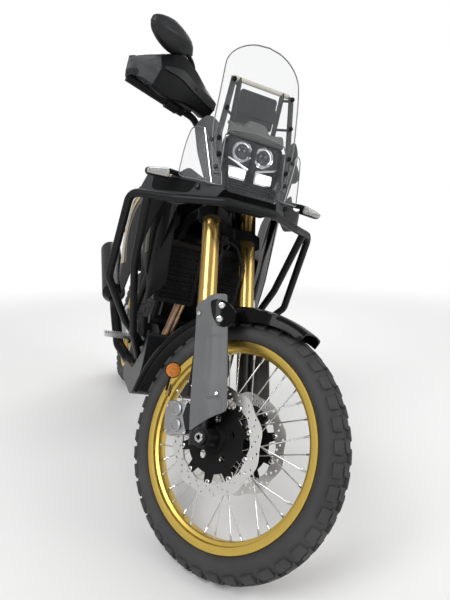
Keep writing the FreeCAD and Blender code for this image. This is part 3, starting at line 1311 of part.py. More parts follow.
def rear_lamps():
    """Tail light on the mudguard and an indicator on a stalk at each side."""
    root = Vector(-140, 78 + size.seat_gap, lamp_seat(-140) - 5)
    stalk = rod("rear_indicator_stalk", root, root + Y * 56, "4")
    low = root.z - 14
    head = prism("rear_indicator_head", "YZ", [(126, low, 10), (190, low, 10), (190, low + 24, 10), (126, low + 30, 10)],
                 -12, 12, Placement(X * root.x, Rotation()))
    return group("rear_lamps", [tail_light(), both("rear_indicators", fused("rear_indicator", [stalk, head]))])


def footrests():
    """Brackets on the pivot plates with toothed pegs."""
    root = Vector(700, size.peg_side, 425)
    bracket = prism("peg_bracket", "XZ", [(586, 430, 10), (600, 470, 12), (720, 450, 20), (724, 410, 12), (600, 396, 12)],
                    -size.peg_side - 6, -(size.plate_side + size.plate_thickness + size.seat_gap) )
    end = size.peg_side + size.peg_length
    teeth = [(size.peg_side + size.peg_length * n / 24, 424 if n % 2 else 431) for n in range(1, 24)]
    peg = prism("peg", "YZ", [(size.peg_side - 2, 412), (end, 412, 4), (end, 431)] + teeth[::-1] + [(size.peg_side - 2, 424)],
                678, 728)
    room = prism("peg_room", "XY", [(688, size.peg_side + 14, 4), (718, size.peg_side + 14, 4), (718, end - 10, 4),
                                    (688, end - 10, 4)], 400, 440)
    return both("footrests", fused("footrest", [bracket, cut("peg_open", peg, room)]))


# Stand, drawn for the deployed foot flat on the ground

STAND_PIVOT = Vector(676, 176, 306)


def on_ground(x, y):
    """Point of the ground below or above a point of the upright machine."""
    up = POSE.Rotation.multVec(Z).z
    return Vector(x, y, -POSE.multVec(Vector(x, y, 0)).z / up)


FOOT_PLACE = Placement(on_ground(724, size.stand_foot_side), POSE.Rotation.inverted())
STAND_FOOT = FOOT_PLACE.multVec(Z * 9)
STAND_DOWN = (STAND_FOOT - STAND_PIVOT).normalize()
STAND_UP = Vector(-1, 0.02, 0.04).normalize()
STAND_AXIS = STAND_DOWN.cross(STAND_UP).normalize()
STAND_SWING = math.degrees(STAND_DOWN.getAngle(STAND_UP))
STAND_EYE = size.stand_leg_radius + 1


def side_stand():
    """Leg with an eye on the frame's pin and a flat foot."""
    leg = rod("stand_leg", STAND_PIVOT, STAND_FOOT, "stand_leg_radius")
    eye = rod("stand_eye", STAND_PIVOT - STAND_AXIS * STAND_EYE, STAND_PIVOT + STAND_AXIS * STAND_EYE, "stand_eye_radius")
    foot = prism("stand_foot", "XY", [(-42, -26, 18), (42, -26, 18), (42, 34, 18), (-42, 34, 18)], 0, 8, FOOT_PLACE)
    whole = fused("side_stand_solid", [leg, eye, foot])
    bore = rod("stand_bore", STAND_PIVOT - STAND_AXIS * 40, STAND_PIVOT + STAND_AXIS * 40, "stand_pin_radius + running_gap")
    return cut("side_stand", whole, bore)


def stand_bracket():
    """Arm from the left pivot plate to the stand's pin, with a washer head on the far side."""
    inner, outer = STAND_EYE + size.seat_gap, STAND_EYE + size.running_gap + 5
    lug_end = STAND_PIVOT - STAND_AXIS * (inner + 26)
    return [rod("stand_lug", lug_end, STAND_PIVOT - STAND_AXIS * inner, "stand_eye_radius"),
            rod("stand_pin", lug_end, STAND_PIVOT + STAND_AXIS * outer, "stand_pin_radius"),
            rod("stand_pin_head", STAND_PIVOT + STAND_AXIS * (STAND_EYE + size.running_gap), STAND_PIVOT + STAND_AXIS * outer,
                "stand_pin_radius + 4"),
            rod("stand_arm", STAND_PIVOT - STAND_AXIS * (inner + 18), Vector(600, size.plate_side + 6, 384), "11")]


CHASSIS = [frame, engine, radiators, fuel_tank, seat, subframe, rear_rack, rear_mudguard, tail_panels, swingarm,
           swingarm_shafts, shock, chain_drive, rear_caliper, exhaust, skid_plate, crash_bars, headlamp,
           fairing_frame, windscreen, side_panels, front_indicators, rear_lamps, footrests]
STEERING = [fork_tubes, fork_legs, front_axle, triple_clamps, handlebar, hand_controls, hand_levers, hand_guards, mirrors,
            front_fender, fork_guards, front_calipers, brake_hoses]
FRONT_WHEEL = [front_tyre, front_rim, front_spokes, front_hub, front_discs]
REAR_WHEEL = [rear_tyre, rear_rim, rear_spokes, rear_hub, rear_disc, rear_sprocket]
BODIES = [
    ("chassis", CHASSIS, POSE),
    ("steering", STEERING, POSE * STEERED),
    ("front_wheel", FRONT_WHEEL, POSE * STEERED * Placement(FRONT_AXLE, Rotation())),
    ("rear_wheel", REAR_WHEEL, POSE * Placement(REAR_AXLE, Rotation())),
    ("stand", [side_stand], POSE),
]

made = {}
for body_name, makers, pose in BODIES:
    for maker in makers:
        node = maker()
        node.Label = maker.__name__
        made[maker.__name__] = (node, pose)
doc.recompute()
for node, pose in made.values():
    node.Placement = pose * node.Placement
doc.recompute()

for feature in doc.Objects:
    if "Invalid" in feature.State or "Error" in feature.State:
        raise RuntimeError(f"{feature.Name} failed: {feature.State}")
os.makedirs("parts", exist_ok=True)
for name, (node, pose) in made.items():
    if node.Shape.isNull() or not node.Shape.isValid():
        raise RuntimeError(f"{name} has no valid shape")
    node.Shape.exportStep(f"parts/{name}.step")
print(len(made), "nodes")
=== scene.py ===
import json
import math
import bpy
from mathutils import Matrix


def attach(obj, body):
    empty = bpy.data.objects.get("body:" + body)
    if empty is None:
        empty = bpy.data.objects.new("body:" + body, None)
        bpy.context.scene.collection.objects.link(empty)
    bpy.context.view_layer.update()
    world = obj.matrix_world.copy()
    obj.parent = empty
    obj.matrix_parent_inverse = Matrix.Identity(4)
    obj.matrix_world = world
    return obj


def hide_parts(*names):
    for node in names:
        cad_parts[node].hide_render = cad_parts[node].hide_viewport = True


bl_info = {
    "name": "Adventure motorcycle",
    "version": (1, 0, 0),
    "blender": (4, 5, 0),
    "location": "View3D > Sidebar > Motorcycle",
    "description": "Dresses the packed motorcycle frame with finished pieces and materials",
    "category": "Object",
}

import bpy
import numpy as np
from bpy.props import FloatProperty, FloatVectorProperty, IntProperty
from mathutils import Matrix, Vector
from mathutils.geometry import delaunay_2d_cdt

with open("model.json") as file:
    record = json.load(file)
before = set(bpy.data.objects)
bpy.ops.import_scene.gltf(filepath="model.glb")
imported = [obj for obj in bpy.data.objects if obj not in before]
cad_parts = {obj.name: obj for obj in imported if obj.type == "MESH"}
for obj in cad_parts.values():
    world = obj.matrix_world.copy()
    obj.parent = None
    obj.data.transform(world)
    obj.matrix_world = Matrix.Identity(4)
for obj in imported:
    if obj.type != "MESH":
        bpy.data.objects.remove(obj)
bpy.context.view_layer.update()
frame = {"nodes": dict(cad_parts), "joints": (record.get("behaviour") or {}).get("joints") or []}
JOINTS = {joint["name"]: joint for joint in frame["joints"]}
SIDES = (1, -1)


# Places. Pieces are drawn in millimetres on the machine upright and straight ahead:
# X forward from the rear axle, Y to the rider's left, Z up from the ground.

def unit(v):
    """Vectors along the last axis at length one."""
    v = np.asarray(v, float)
    return v / np.linalg.norm(v, axis=-1, keepdims=True)


RAKE = math.radians(27)
FORK_UP = np.array([-math.sin(RAKE), 0, math.cos(RAKE)])
FORK_AHEAD = np.array([math.cos(RAKE), 0, math.sin(RAKE)])
FRONT_AXLE = np.array([1540.0, 0, 350])
REAR_AXLE = np.array([0.0, 0, 334])
STEER_FOOT = FRONT_AXLE - FORK_AHEAD * 60


def parked(side_axis, point, own_point):
    """Turn and shift from the upright machine to the parked one, from its sideways and steering axes."""
    side, up = unit(side_axis), unit(JOINTS["steering_turn"]["axis"])
    ahead = np.cross(side, up)
    x = ahead * math.cos(RAKE) - up * math.sin(RAKE)
    z = ahead * math.sin(RAKE) + up * math.cos(RAKE)
    turn = np.stack([x, side, z]) * 0.001
    return turn, np.array(point) - own_point @ turn


LEANED = parked(JOINTS["rear_wheel_spin"]["axis"], JOINTS["rear_wheel_spin"]["pos_m"], REAR_AXLE)
STEERED = parked(JOINTS["front_wheel_spin"]["axis"], JOINTS["steering_turn"]["pos_m"], STEER_FOOT)
PLACES = {"chassis": LEANED, "rear_wheel": LEANED, "stand": LEANED, "steering": STEERED, "front_wheel": STEERED}


def fork(along, ahead=0.0, side=0.0):
    """Point by its distance up the steering axis, ahead of it and to the left."""
    return STEER_FOOT + FORK_UP * along + FORK_AHEAD * ahead + np.array([0, side, 0])


WORLD_FRAME = np.eye(3)


# Shapes

class Part:
    """Points, the four-sided faces between them, and flat ends with any number of corners."""

    def __init__(self, points, quads, ends=()):
        self.points, self.quads, self.ends = np.asarray(points, float), np.asarray(quads, int), [list(e) for e in ends]

    def __add__(self, other):
        start = len(self.points)
        return Part(np.concatenate([self.points, other.points]), np.concatenate([self.quads, other.quads + start]),
                    self.ends + [[i + start for i in end] for end in other.ends])

    def at(self, origin, axes):
        """The part with its X, Y and Z laid along three directions from an origin."""
        return Part(self.points @ np.asarray(axes) + np.asarray(origin), self.quads, self.ends)

    def mirrored(self):
        """The part's mirror image across the machine's middle, its faces turned back outwards."""
        return Part(self.points * [1, -1, 1], self.quads[:, ::-1], [end[::-1] for end in self.ends])

    def both(self):
        """The part and its mirror image."""
        return self + self.mirrored()

    def repeated(self, turns, shifts):
        """A copy for every turn (k, 3, 3) and shift (k, 3), worked out as one array."""
        count, size = len(turns), len(self.points)
        points = np.einsum("pi,kij->kpj", self.points, np.asarray(turns)) + np.asarray(shifts)[:, None]
        steps = np.arange(count)[:, None, None] * size
        ends = [[i + k * size for i in end] for k in range(count) for end in self.ends]
        return Part(points.reshape(-1, 3), (self.quads + steps).reshape(-1, 4), ends)

    def copies(self, shifts):
        """A copy, unturned, for every shift (k, 3)."""
        return self.repeated(np.broadcast_to(WORLD_FRAME, (len(shifts), 3, 3)), shifts)


def joined(parts):
    """One part made of many, in their order."""
    whole = parts[0]
    for part in parts[1:]:
        whole = whole + part
    return whole


def grid(points, around=False, along=False, ends=False):
    """Faces over an array of points (rows, columns, 3), closed across its columns or rows."""
    rows, columns = points.shape[:2]
    number = np.arange(rows * columns).reshape(rows, columns)
    if around:
        number = np.concatenate([number, number[:, :1]], 1)
    if along:
        number = np.concatenate([number, number[:1]], 0)
    quads = np.stack([number[:-1, :-1], number[:-1, 1:], number[1:, 1:], number[1:, :-1]], -1).reshape(-1, 4)
    caps = [number[0, :columns][::-1].tolist(), number[-1, :columns].tolist()] if ends else []
    return Part(points.reshape(-1, 3), quads, caps)


def circle(radius, count):
    """Outline of evenly spaced points at one distance from the middle."""
    turn = np.arange(count) / count * 2 * math.pi
    return np.stack([np.cos(turn), np.sin(turn)], -1) * radius


def bent(points, reach, steps=7):
    """Straight runs whose corners are parabolas that begin and end `reach` from the corner."""
    p = np.asarray(points, float)
    before, after = unit(p[:-2] - p[1:-1])[:, None], unit(p[2:] - p[1:-1])[:, None]
    t = np.linspace(0, 1, steps)[None, :, None]
    corners = p[1:-1, None] + reach * ((1 - t) ** 2 * before + t ** 2 * after)
    return np.concatenate([p[:1], corners.reshape(-1, p.shape[1]), p[-1:]])


def outline(points, reach=6.0, steps=5):
    """Closed outline whose corners are rounded the same way; a third number is a corner's own reach."""
    p = np.array([q[:2] for q in points], float)
    own = np.array([q[2] if len(q) > 2 else reach for q in points], float)[:, None, None]
    before, after = unit(np.roll(p, 1, 0) - p)[:, None], unit(np.roll(p, -1, 0) - p)[:, None]
    t = np.linspace(0, 1, steps)[None, :, None]
    return (p[:, None] + own * ((1 - t) ** 2 * before + t ** 2 * after)).reshape(-1, 2)


def rectangle(left, low, right, high, reach, steps=5):
    """Outline between two corners, its four corners rounded."""
    return outline([(left, low), (right, low), (right, high), (left, high)], reach, steps)


def swept(path, profile, closed=False, scale=None, up=None):
    """Profile (m, 2) carried along a path (n, 3), square to it, its first axis kept along the path's flattest side."""
    path, profile = np.asarray(path, float), np.asarray(profile, float)
    run = unit(np.roll(path, -1, 0) - np.roll(path, 1, 0) if closed else np.gradient(path, axis=0))
    flat = np.linalg.svd(path - path.mean(0))[2][2] if up is None else np.asarray(up, float)
    across = unit(np.cross(flat, run))
    lift = np.cross(run, across)
    size = np.ones(len(path)) if scale is None else np.asarray(scale, float)
    ring = profile[:, :1] * across[:, None] + profile[:, 1:] * lift[:, None]
    return grid(path[:, None] + size[:, None, None] * ring, around=True, along=closed, ends=not closed)


def tube(points, radius, reach, around=20):
    """Round bar along straight runs with bent corners."""
    return swept(bent(points, reach), circle(radius, around))


def rod(start, end, radius, around=20, bevel=0.8):
    """Round bar with a small chamfer at both ends, the radius as a function of the length."""
    start, end = np.asarray(start, float), np.asarray(end, float)
    run = unit(end - start)
    length = np.linalg.norm(end - start)
    at = np.array([0, bevel, length - bevel, length])
    size = np.array([radius - bevel, radius, radius, radius - bevel]) / radius
    side = np.cross(run, [0.31, 0.52, 0.79])
    return swept(start + run * at[:, None], circle(radius, around), scale=size, up=side)


def area(points):
    """Twice the signed area of a closed outline, positive when it runs anticlockwise."""
    after = np.roll(points, -1, 0)
    return np.sum(points[:, 0] * after[:, 1] - points[:, 1] * after[:, 0])


def anticlockwise(points):
    """Closed outline, run backwards if it was clockwise."""
    points = np.asarray(points, float)
    return points[::-1] if area(points) < 0 else points


def turned(profile, count, axes=WORLD_FRAME, origin=(0, 0, 0)):
    """Closed profile of (radius, distance along the axis) turned about the axes' second direction."""
    p = anticlockwise(profile)
    turn = np.arange(count) / count * 2 * math.pi
    points = np.stack([np.outer(np.cos(turn), p[:, 0]), np.broadcast_to(p[:, 1], (count, len(p))),
                       np.outer(np.sin(turn), p[:, 0])], -1)
    return grid(points, around=True, along=True).at(origin, axes)


def inset(points, distance):
    """Closed outline moved inwards along its own corners' middles."""
    run = unit(np.roll(points, -1, 0) - np.roll(points, 1, 0))
    normal = np.stack([-run[:, 1], run[:, 0]], -1)
    return points + normal * distance * np.sign(area(points))


def plate(points, low, high, bevel, axes, origin=(0, 0, 0)):
    """Closed outline carried along the axes' third direction from low to high, with rounded edges."""
    points, shoulder = anticlockwise(points), bevel * 0.3
    heights = [low, low + shoulder, low + bevel, high - bevel, high - shoulder, high]
    insets = [bevel, shoulder, 0, 0, shoulder, bevel]
    rings = [np.column_stack([inset(points, d), np.full(len(points), h)]) for h, d in zip(heights, insets)]
    return grid(np.stack(rings), around=True, ends=True).at(origin, axes)


# Planes for outlines: first direction, second direction, direction of the thickness
SIDE_VIEW = np.array([[1, 0, 0], [0, 0, 1], [0, -1, 0]])
FRONT_VIEW = np.array([[0, 1, 0], [0, 0, 1], [1, 0, 0]])
FORK_SIDE = np.stack([FORK_AHEAD, FORK_UP, [0, -1, 0]])


def bolt(at, along, radius, height):
    """Button head with a hexagon socket."""
    along = unit(along)
    side = unit(np.cross(along, [0.23, 0.71, 0.66]))
    axes = np.stack([side, along, np.cross(side, along)])
    head = [(0.05, height * 0.45), (radius * 0.5, height * 0.45), (radius * 0.52, height), (radius * 0.8, height * 0.9),
            (radius, height * 0.35), (radius, -0.5), (0.05, -0.5)]
    return turned(head, 12, axes, at)


def build(name, body, part, look, replaces=(), crease=38, subdivide=0):
    """Puts a part's points into a mesh at its place on a body, with a named finish."""
    turn, shift = PLACES[body]
    mesh = bpy.data.meshes.new(name)
    mesh.from_pydata((part.points @ turn + shift).tolist(), [], part.quads.tolist() + part.ends)
    mesh.validate()
    mesh.update()
    mesh.shade_smooth()
    mesh.set_sharp_from_angle(angle=math.radians(crease))
    piece = bpy.data.objects.new(name, mesh)
    bpy.context.scene.collection.objects.link(piece)
    mesh.materials.append(finish(look))
    if subdivide:
        smoother = piece.modifiers.new("smooth", "SUBSURF")
        smoother.levels = smoother.render_levels = subdivide
    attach(piece, body)
    if replaces:
        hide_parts(*replaces)
    return piece


# Finishes: shader maths is written as expressions on sockets.

class Value:
    """A shader output; arithmetic on it adds Math nodes."""

    def __init__(self, finish, output):
        self.finish, self.output = finish, output

    def math(self, operation, *values):
        """A Math node's result on values or other outputs."""
        return self.finish.node("ShaderNodeMath", {"operation": operation}, dict(enumerate(values)))

    def __add__(self, other):
        return self.math("ADD", self, other)

    def __sub__(self, other):
        return self.math("SUBTRACT", self, other)

    def __rsub__(self, other):
        return self.math("SUBTRACT", other, self)

    def __mul__(self, other):
        return self.math("MULTIPLY", self, other)

    def __gt__(self, other):
        return self.math("GREATER_THAN", self, other)

    def step(self, low, high):
        """Rises smoothly from 0 at low to 1 at high."""
        return self.finish.node("ShaderNodeMapRange", {"interpolation_type": "SMOOTHSTEP", "clamp": True},
                                {0: self, 1: low, 2: high})

    __radd__, __rmul__ = __add__, __mul__


class Finish:
    """A material: its surface shader and the expressions that feed it."""

    def __init__(self, name, colour, roughness, metallic=0.0, **sockets):
        self.material = bpy.data.materials.new(name)
        self.material.use_nodes = True
        self.tree = self.material.node_tree
        self.surface = self.tree.nodes["Principled BSDF"]
        self.set(Base_Color=(*colour, 1), Roughness=roughness, Metallic=metallic, **sockets)

    def set(self, **sockets):
        """Values or outputs for the shader's own sockets."""
        for name, value in sockets.items():
            self.feed(self.surface.inputs[name.replace("_", " ")], value)
        return self

    def feed(self, socket, value):
        """Links an output to a socket, or writes a value there."""
        if isinstance(value, Value):
            self.tree.links.new(value.output, socket)
        else:
            socket.default_value = value

    def node(self, kind, settings=(), inputs=(), output=0):
        """Any node by its type, its settings and what its sockets get; gives one of its outputs."""
        made = self.tree.nodes.new(kind)
        for key, value in dict(settings).items():
            setattr(made, key, value)
        for key, value in dict(inputs).items():
            self.feed(made.inputs[key], value)
        return Value(self, made.outputs[output])

    def spot(self):
        """Object coordinates, in metres."""
        return self.node("ShaderNodeTexCoord", output="Object")

    def place(self, scale=(1, 1, 1)):
        """Object coordinates, stretched for a pattern."""
        return self.node("ShaderNodeMapping", {}, {0: self.spot(), 3: scale})

    def machine(self, axis):
        """Place along the parked chassis's own axis 0, 1 or 2, in the upright machine's millimetres."""
        turn, shift = LEANED
        along = turn[axis] * 1e6
        far = self.node("ShaderNodeVectorMath", {"operation": "DOT_PRODUCT"}, {0: self.spot(), 1: along.tolist()},
                        output=1)
        return far - float(shift @ along)

    def noise(self, scale, detail=3.0, place=None):
        """Cloudy pattern, 0 to 1."""
        return self.node("ShaderNodeTexNoise", {}, {"Vector": place or self.place(), "Scale": scale, "Detail": detail})

    def mix(self, mask, first, second):
        """Colour between two, by a mask."""
        inputs = {0: mask, 6: first if isinstance(first, Value) else (*first, 1),
                  7: second if isinstance(second, Value) else (*second, 1)}
        return self.node("ShaderNodeMix", {"data_type": "RGBA"}, inputs, output=2)

    def bump(self, height, strength, distance):
        """Relief from a pattern, at most the distance deep, in metres."""
        normal = self.node("ShaderNodeBump", {}, {"Strength": strength, "Distance": distance, "Height": height})
        return self.set(Normal=normal)


def shade(colour, factor):
    """Colour made lighter or darker."""
    return tuple(min(1.0, c * factor) for c in colour)


def moulded(name, colour, roughness, grain, depth, coat=0.0, shine=0.3):
    """Moulded or coated surface: fine grain, a little unevenness in colour and shine."""
    made = Finish(name, colour, roughness, Coat_Weight=coat, Coat_Roughness=0.06, Specular_IOR_Level=shine)
    cloud = made.noise(9.0, 4.0)
    fine = made.noise(grain, 2.0)
    made.set(Base_Color=made.mix(cloud, shade(colour, 0.82), shade(colour, 1.2)),
             Roughness=roughness - 0.06 + cloud * 0.12)
    return made.bump(fine, depth, 0.0004).material


def metal(name, colour, roughness, grain=260.0, depth=0.12, wear=0.14):
    """Bare or anodised metal with fine machining or casting grain."""
    made = Finish(name, colour, roughness, 1.0)
    cloud = made.noise(22.0, 5.0)
    fine = made.noise(grain, 3.0)
    made.set(Base_Color=made.mix(cloud, shade(colour, 1 - wear), shade(colour, 1 + wear)),
             Roughness=roughness - 0.08 + fine * 0.16)
    return made.bump(fine, depth, 0.0003).material


def tyre_rubber(name):
    """Dull rubber, dusty in patches."""
    rubber, dusty = (0.034, 0.034, 0.036), (0.085, 0.084, 0.081)
    made = Finish(name, rubber, 0.78)
    dust = made.noise(6.0, 6.0).step(0.42, 0.72)
    speck = made.noise(420.0, 3.0)
    made.set(Base_Color=made.mix(dust * 0.55, rubber, dusty), Roughness=0.66 + dust * 0.16)
    return made.bump(speck, 0.35, 0.0004).material


def clear_sheet(name, colour, alpha, roughness=0.04):
    """Thin clear plastic: mostly let through, with gloss and a few wipe marks."""
    made = Finish(name, colour, roughness, Specular_IOR_Level=0.25)
    smear = made.noise(14.0, 6.0)
    made.set(Alpha=alpha + (smear - 0.5) * alpha * 0.5, Roughness=roughness + smear * 0.05)
    made.material.surface_render_method = "DITHERED"
    return made.material


def lit_lens(name):
    """White light modules that glow evenly."""
    made = Finish(name, (0.95, 0.97, 1.0), 0.2, Emission_Strength=1.6)
    glow = made.noise(60.0, 2.0)
    made.set(Emission_Color=made.mix(glow, (0.80, 0.90, 1.0), (1.0, 1.0, 1.0)))
    return made.material


def coloured_lens(name, colour):
    """Coloured reflector with a fine prism pattern."""
    made = Finish(name, colour, 0.16, Coat_Weight=0.6)
    cells = made.node("ShaderNodeTexVoronoi", {}, {"Vector": made.place(), "Scale": 320.0})
    made.set(Base_Color=made.mix(cells.step(0.0, 0.7), shade(colour, 1.25), shade(colour, 0.55)))
    return made.bump(cells, 0.5, 0.0006).material


# Where finishes change along and across the machine
PIPE_BARE_FROM = 800.0
TAIL_LENS_HALF = 70.0
TAIL_STALK_END = 127.0


def heated_pipe(name):
    """Exhaust tubes browned by heat in bands ahead of the engine, painted black behind."""
    made = Finish(name, (0.42, 0.27, 0.17), 0.3, 1.0)
    band = made.noise(11.0, 4.0, made.place((1, 1, 3)))
    soot = made.noise(38.0, 5.0).step(0.5, 0.8)
    warm = made.mix(band.step(0.35, 0.7), (0.50, 0.31, 0.17), (0.30, 0.20, 0.17))
    front = made.machine(0) > PIPE_BARE_FROM
    made.set(Base_Color=made.mix(front, (0.005, 0.005, 0.005), made.mix(soot * 0.5, warm, (0.16, 0.13, 0.12))),
             Roughness=0.3 + soot * 0.2, Metallic=front, Specular_IOR_Level=0.15)
    return made.bump(soot, 0.1, 0.0004).material


def tail_lamps(name):
    """Red tail lens, with black stalks and amber heads outside it."""
    made = Finish(name, (0.55, 0.01, 0.01), 0.16, Specular_IOR_Level=0.3)
    fine, across = made.noise(300.0, 2.0), made.machine(1)
    away = across.math("ABSOLUTE", across)
    colour = made.mix(away > TAIL_LENS_HALF, (0.55, 0.012, 0.010), (0.006, 0.006, 0.006))
    made.set(Base_Color=made.mix(away > TAIL_STALK_END, colour, (0.70, 0.22, 0.01)), Roughness=0.12 + fine * 0.1)
    return made.bump(fine, 0.2, 0.0004).material


def seat_vinyl(name):
    """Grained vinyl: fine cells with soft shine."""
    made = Finish(name, (0.022, 0.022, 0.024), 0.55)
    grain = made.node("ShaderNodeTexVoronoi", {"feature": "DISTANCE_TO_EDGE"}, {"Vector": made.place(), "Scale": 620.0})
    cloud = made.noise(8.0, 3.0)
    made.set(Base_Color=made.mix(cloud, (0.016, 0.016, 0.018), (0.034, 0.034, 0.036)), Roughness=0.46 + cloud * 0.16)
    return made.bump(grain.step(0.0, 0.12), 0.4, 0.0005).material


LOOKS = {
    # Metals: colour, roughness, grain, its depth, wear
    "gold rim": (metal, (0.78, 0.55, 0.13), 0.34, 260.0, 0.12, 0.06),
    "gold tube": (metal, (0.58, 0.39, 0.13), 0.24, 260.0, 0.02, 0.05),
    "bright steel": (metal, (0.72, 0.72, 0.72), 0.2),
    "brake steel": (metal, (0.84, 0.83, 0.81), 0.34, 500.0, 0.15, 0.06),
    "cast alloy": (metal, (0.34, 0.35, 0.36), 0.48, 700.0, 0.35),
    "caliper": (metal, (0.42, 0.42, 0.43), 0.42, 700.0, 0.3),
    "chrome": (metal, (0.86, 0.87, 0.88), 0.1, 260.0, 0.02, 0.04),
    "dark alloy": (metal, (0.045, 0.045, 0.048), 0.42, 700.0, 0.3),
    "chain steel": (metal, (0.36, 0.32, 0.24), 0.4, 300.0, 0.3, 0.3),
    "satin stay": (metal, (0.20, 0.19, 0.17), 0.4),
    # Moulded or coated: colour, roughness, grain, its depth, coat, shine
    "powder coat": (moulded, (0.010, 0.0105, 0.0115), 0.36, 1300.0, 0.25, 0.0, 0.2),
    "black casting": (moulded, (0.007, 0.007, 0.0075), 0.45, 800.0, 0.4, 0.0, 0.12),
    "black plastic": (moulded, (0.006, 0.0063, 0.007), 0.42, 1500.0, 0.3, 0.0, 0.14),
    "gloss black": (moulded, (0.003, 0.003, 0.0035), 0.2, 60.0, 0.02, 0.12, 0.08),
    "satin black": (moulded, (0.017, 0.0175, 0.019), 0.34, 1500.0, 0.2),
    "grey plastic": (moulded, (0.045, 0.047, 0.050), 0.46, 1500.0, 0.3),
    "guard grey": (moulded, (0.135, 0.138, 0.140), 0.5, 1500.0, 0.2),
    "matte grey": (moulded, (0.115, 0.118, 0.115), 0.55, 1500.0, 0.3),
    "grip rubber": (moulded, (0.012, 0.012, 0.013), 0.7, 700.0, 0.6),
    "dark glass": (moulded, (0.012, 0.013, 0.016), 0.08, 60.0, 0.01, 1.0),
    "white panel": (moulded, (0.62, 0.62, 0.60), 0.3, 60.0, 0.02, 0.8),
    "gold stripe": (moulded, (0.45, 0.32, 0.12), 0.3, 60.0, 0.02, 0.8),
    # Opaque grey laid along the clear sheets' edges: painted edge shade and sheen, standing in for how light shows an
    # acrylic rim
    "screen edge": (moulded, (0.16, 0.165, 0.17), 0.2, 60.0, 0.02, 0.6),
    "pale bar": (moulded, (0.62, 0.60, 0.52), 0.35, 400.0, 0.1),
    # Clear sheets: colour, share of light held back
    "screen": (clear_sheet, (0.40, 0.42, 0.43), 0.07),
    "smoked lens": (clear_sheet, (0.03, 0.034, 0.038), 0.80),
    "clear lens": (clear_sheet, (0.88, 0.90, 0.92), 0.34),
    "lamp glass": (clear_sheet, (0.70, 0.74, 0.78), 0.05),
    # Lenses: colour
    "silver lens": (coloured_lens, (0.50, 0.50, 0.49)),
    "amber lens": (coloured_lens, (0.85, 0.26, 0.02)),
    # Finishes of one kind of piece
    "tyre rubber": (tyre_rubber,),
    "lit module": (lit_lens,),
    "heated pipe": (heated_pipe,),
    "tail lamps": (tail_lamps,),
    "seat vinyl": (seat_vinyl,),
}
MADE = {}


def finish(name):
    """A named finish, made once."""
    if name not in MADE:
        maker, *settings = LOOKS[name]
        MADE[name] = maker(name, *settings)
    return MADE[name]


# Frame nodes by their finish; pieces built here stand in for some of them
NODE_FINISH = {
    "powder coat": ["frame", "radiators", "subframe", "rear_rack", "skid_plate", "crash_bars", "fairing_frame",
                    "handlebar", "side_stand"],
    "black casting": ["engine", "front_hub", "rear_hub"],
    "gloss black": ["fuel_tank", "tail_panels", "front_fender"],
    "black plastic": ["rear_mudguard", "hand_controls", "hand_guards", "mirrors"],
    "grey plastic": ["side_panels"],
    "guard grey": ["fork_guards"],
    "grip rubber": ["brake_hoses"],
    "seat vinyl": ["seat"],
    "tyre rubber": ["front_tyre", "rear_tyre"],
    "gold rim": ["front_rim", "rear_rim"],
    "gold tube": ["fork_tubes"],
    "bright steel": ["swingarm_shafts", "shock", "footrests", "front_spokes", "rear_spokes", "rear_sprocket"],
    "brake steel": ["front_discs", "rear_disc"],
    "chain steel": ["chain_drive"],
    "cast alloy": ["swingarm"],
    "dark alloy": ["fork_legs", "front_axle", "triple_clamps", "hand_levers"],
    "caliper": ["rear_caliper", "front_calipers"],
    "heated pipe": ["exhaust"],
    "dark glass": ["headlamp"],
    "screen": ["windscreen"],
    "clear lens": ["front_indicators"],
    "tail lamps": ["rear_lamps"],
}


class MachineSizes(bpy.types.PropertyGroup):
    """Sizes of the wheels' details"""
    spoke_radius: FloatProperty(name="Spoke radius", description="Radius of a spoke, in millimetres", default=2.0)
    tread_depth: FloatProperty(name="Tread depth", description="Height of the tyre blocks, in millimetres", default=8.0)
    front_blocks: IntProperty(name="Front blocks", description="Rows of tread blocks round the front tyre", default=40)
    rear_blocks: IntProperty(name="Rear blocks", description="Rows of tread blocks round the rear tyre", default=36)


class StageSizes(bpy.types.PropertyGroup):
    """The floor's size and colour"""
    floor_size: FloatProperty(name="Floor size", description="Side of the floor", default=60.0, unit="LENGTH")
    floor_colour: FloatVectorProperty(name="Floor colour", description="Colour of the floor's darker patches",
                                      default=(0.84, 0.84, 0.84), subtype="COLOR")


# Camera found from the photograph, in the upright machine's millimetres
CAMERA_AT = np.array([2649.35, -481.73, 845.36])
CAMERA_AHEAD = np.array([-0.934034, 0.344879, -0.092944])
CAMERA_UP = np.array([-0.158742, -0.167705, 0.972973])
FOCAL_SHARE = 452.16 / 600
SENSOR_HEIGHT = 36
WORLD_LIGHT = 0.55

# Lamps: name, place, what it is aimed at, watts, side of its square, in metres
LAMPS = [("key light", (2.4, -2.6, 3.6), (0.4, -0.1, 0.6), 95.0, 2.2),
         ("fill light", (2.8, 2.6, 2.2), (0.4, 0.0, 0.7), 38.0, 2.2),
         ("back light", (-2.6, 1.2, 3.2), (0.0, 0.0, 0.6), 60.0, 2.4)]


def frame_matrix(x, y, z, place):
    """An object's matrix from its three directions and its place."""
    return Matrix([[*row, at] for row, at in zip(np.stack([x, y, z], 1).tolist(), place)] + [[0, 0, 0, 1]])


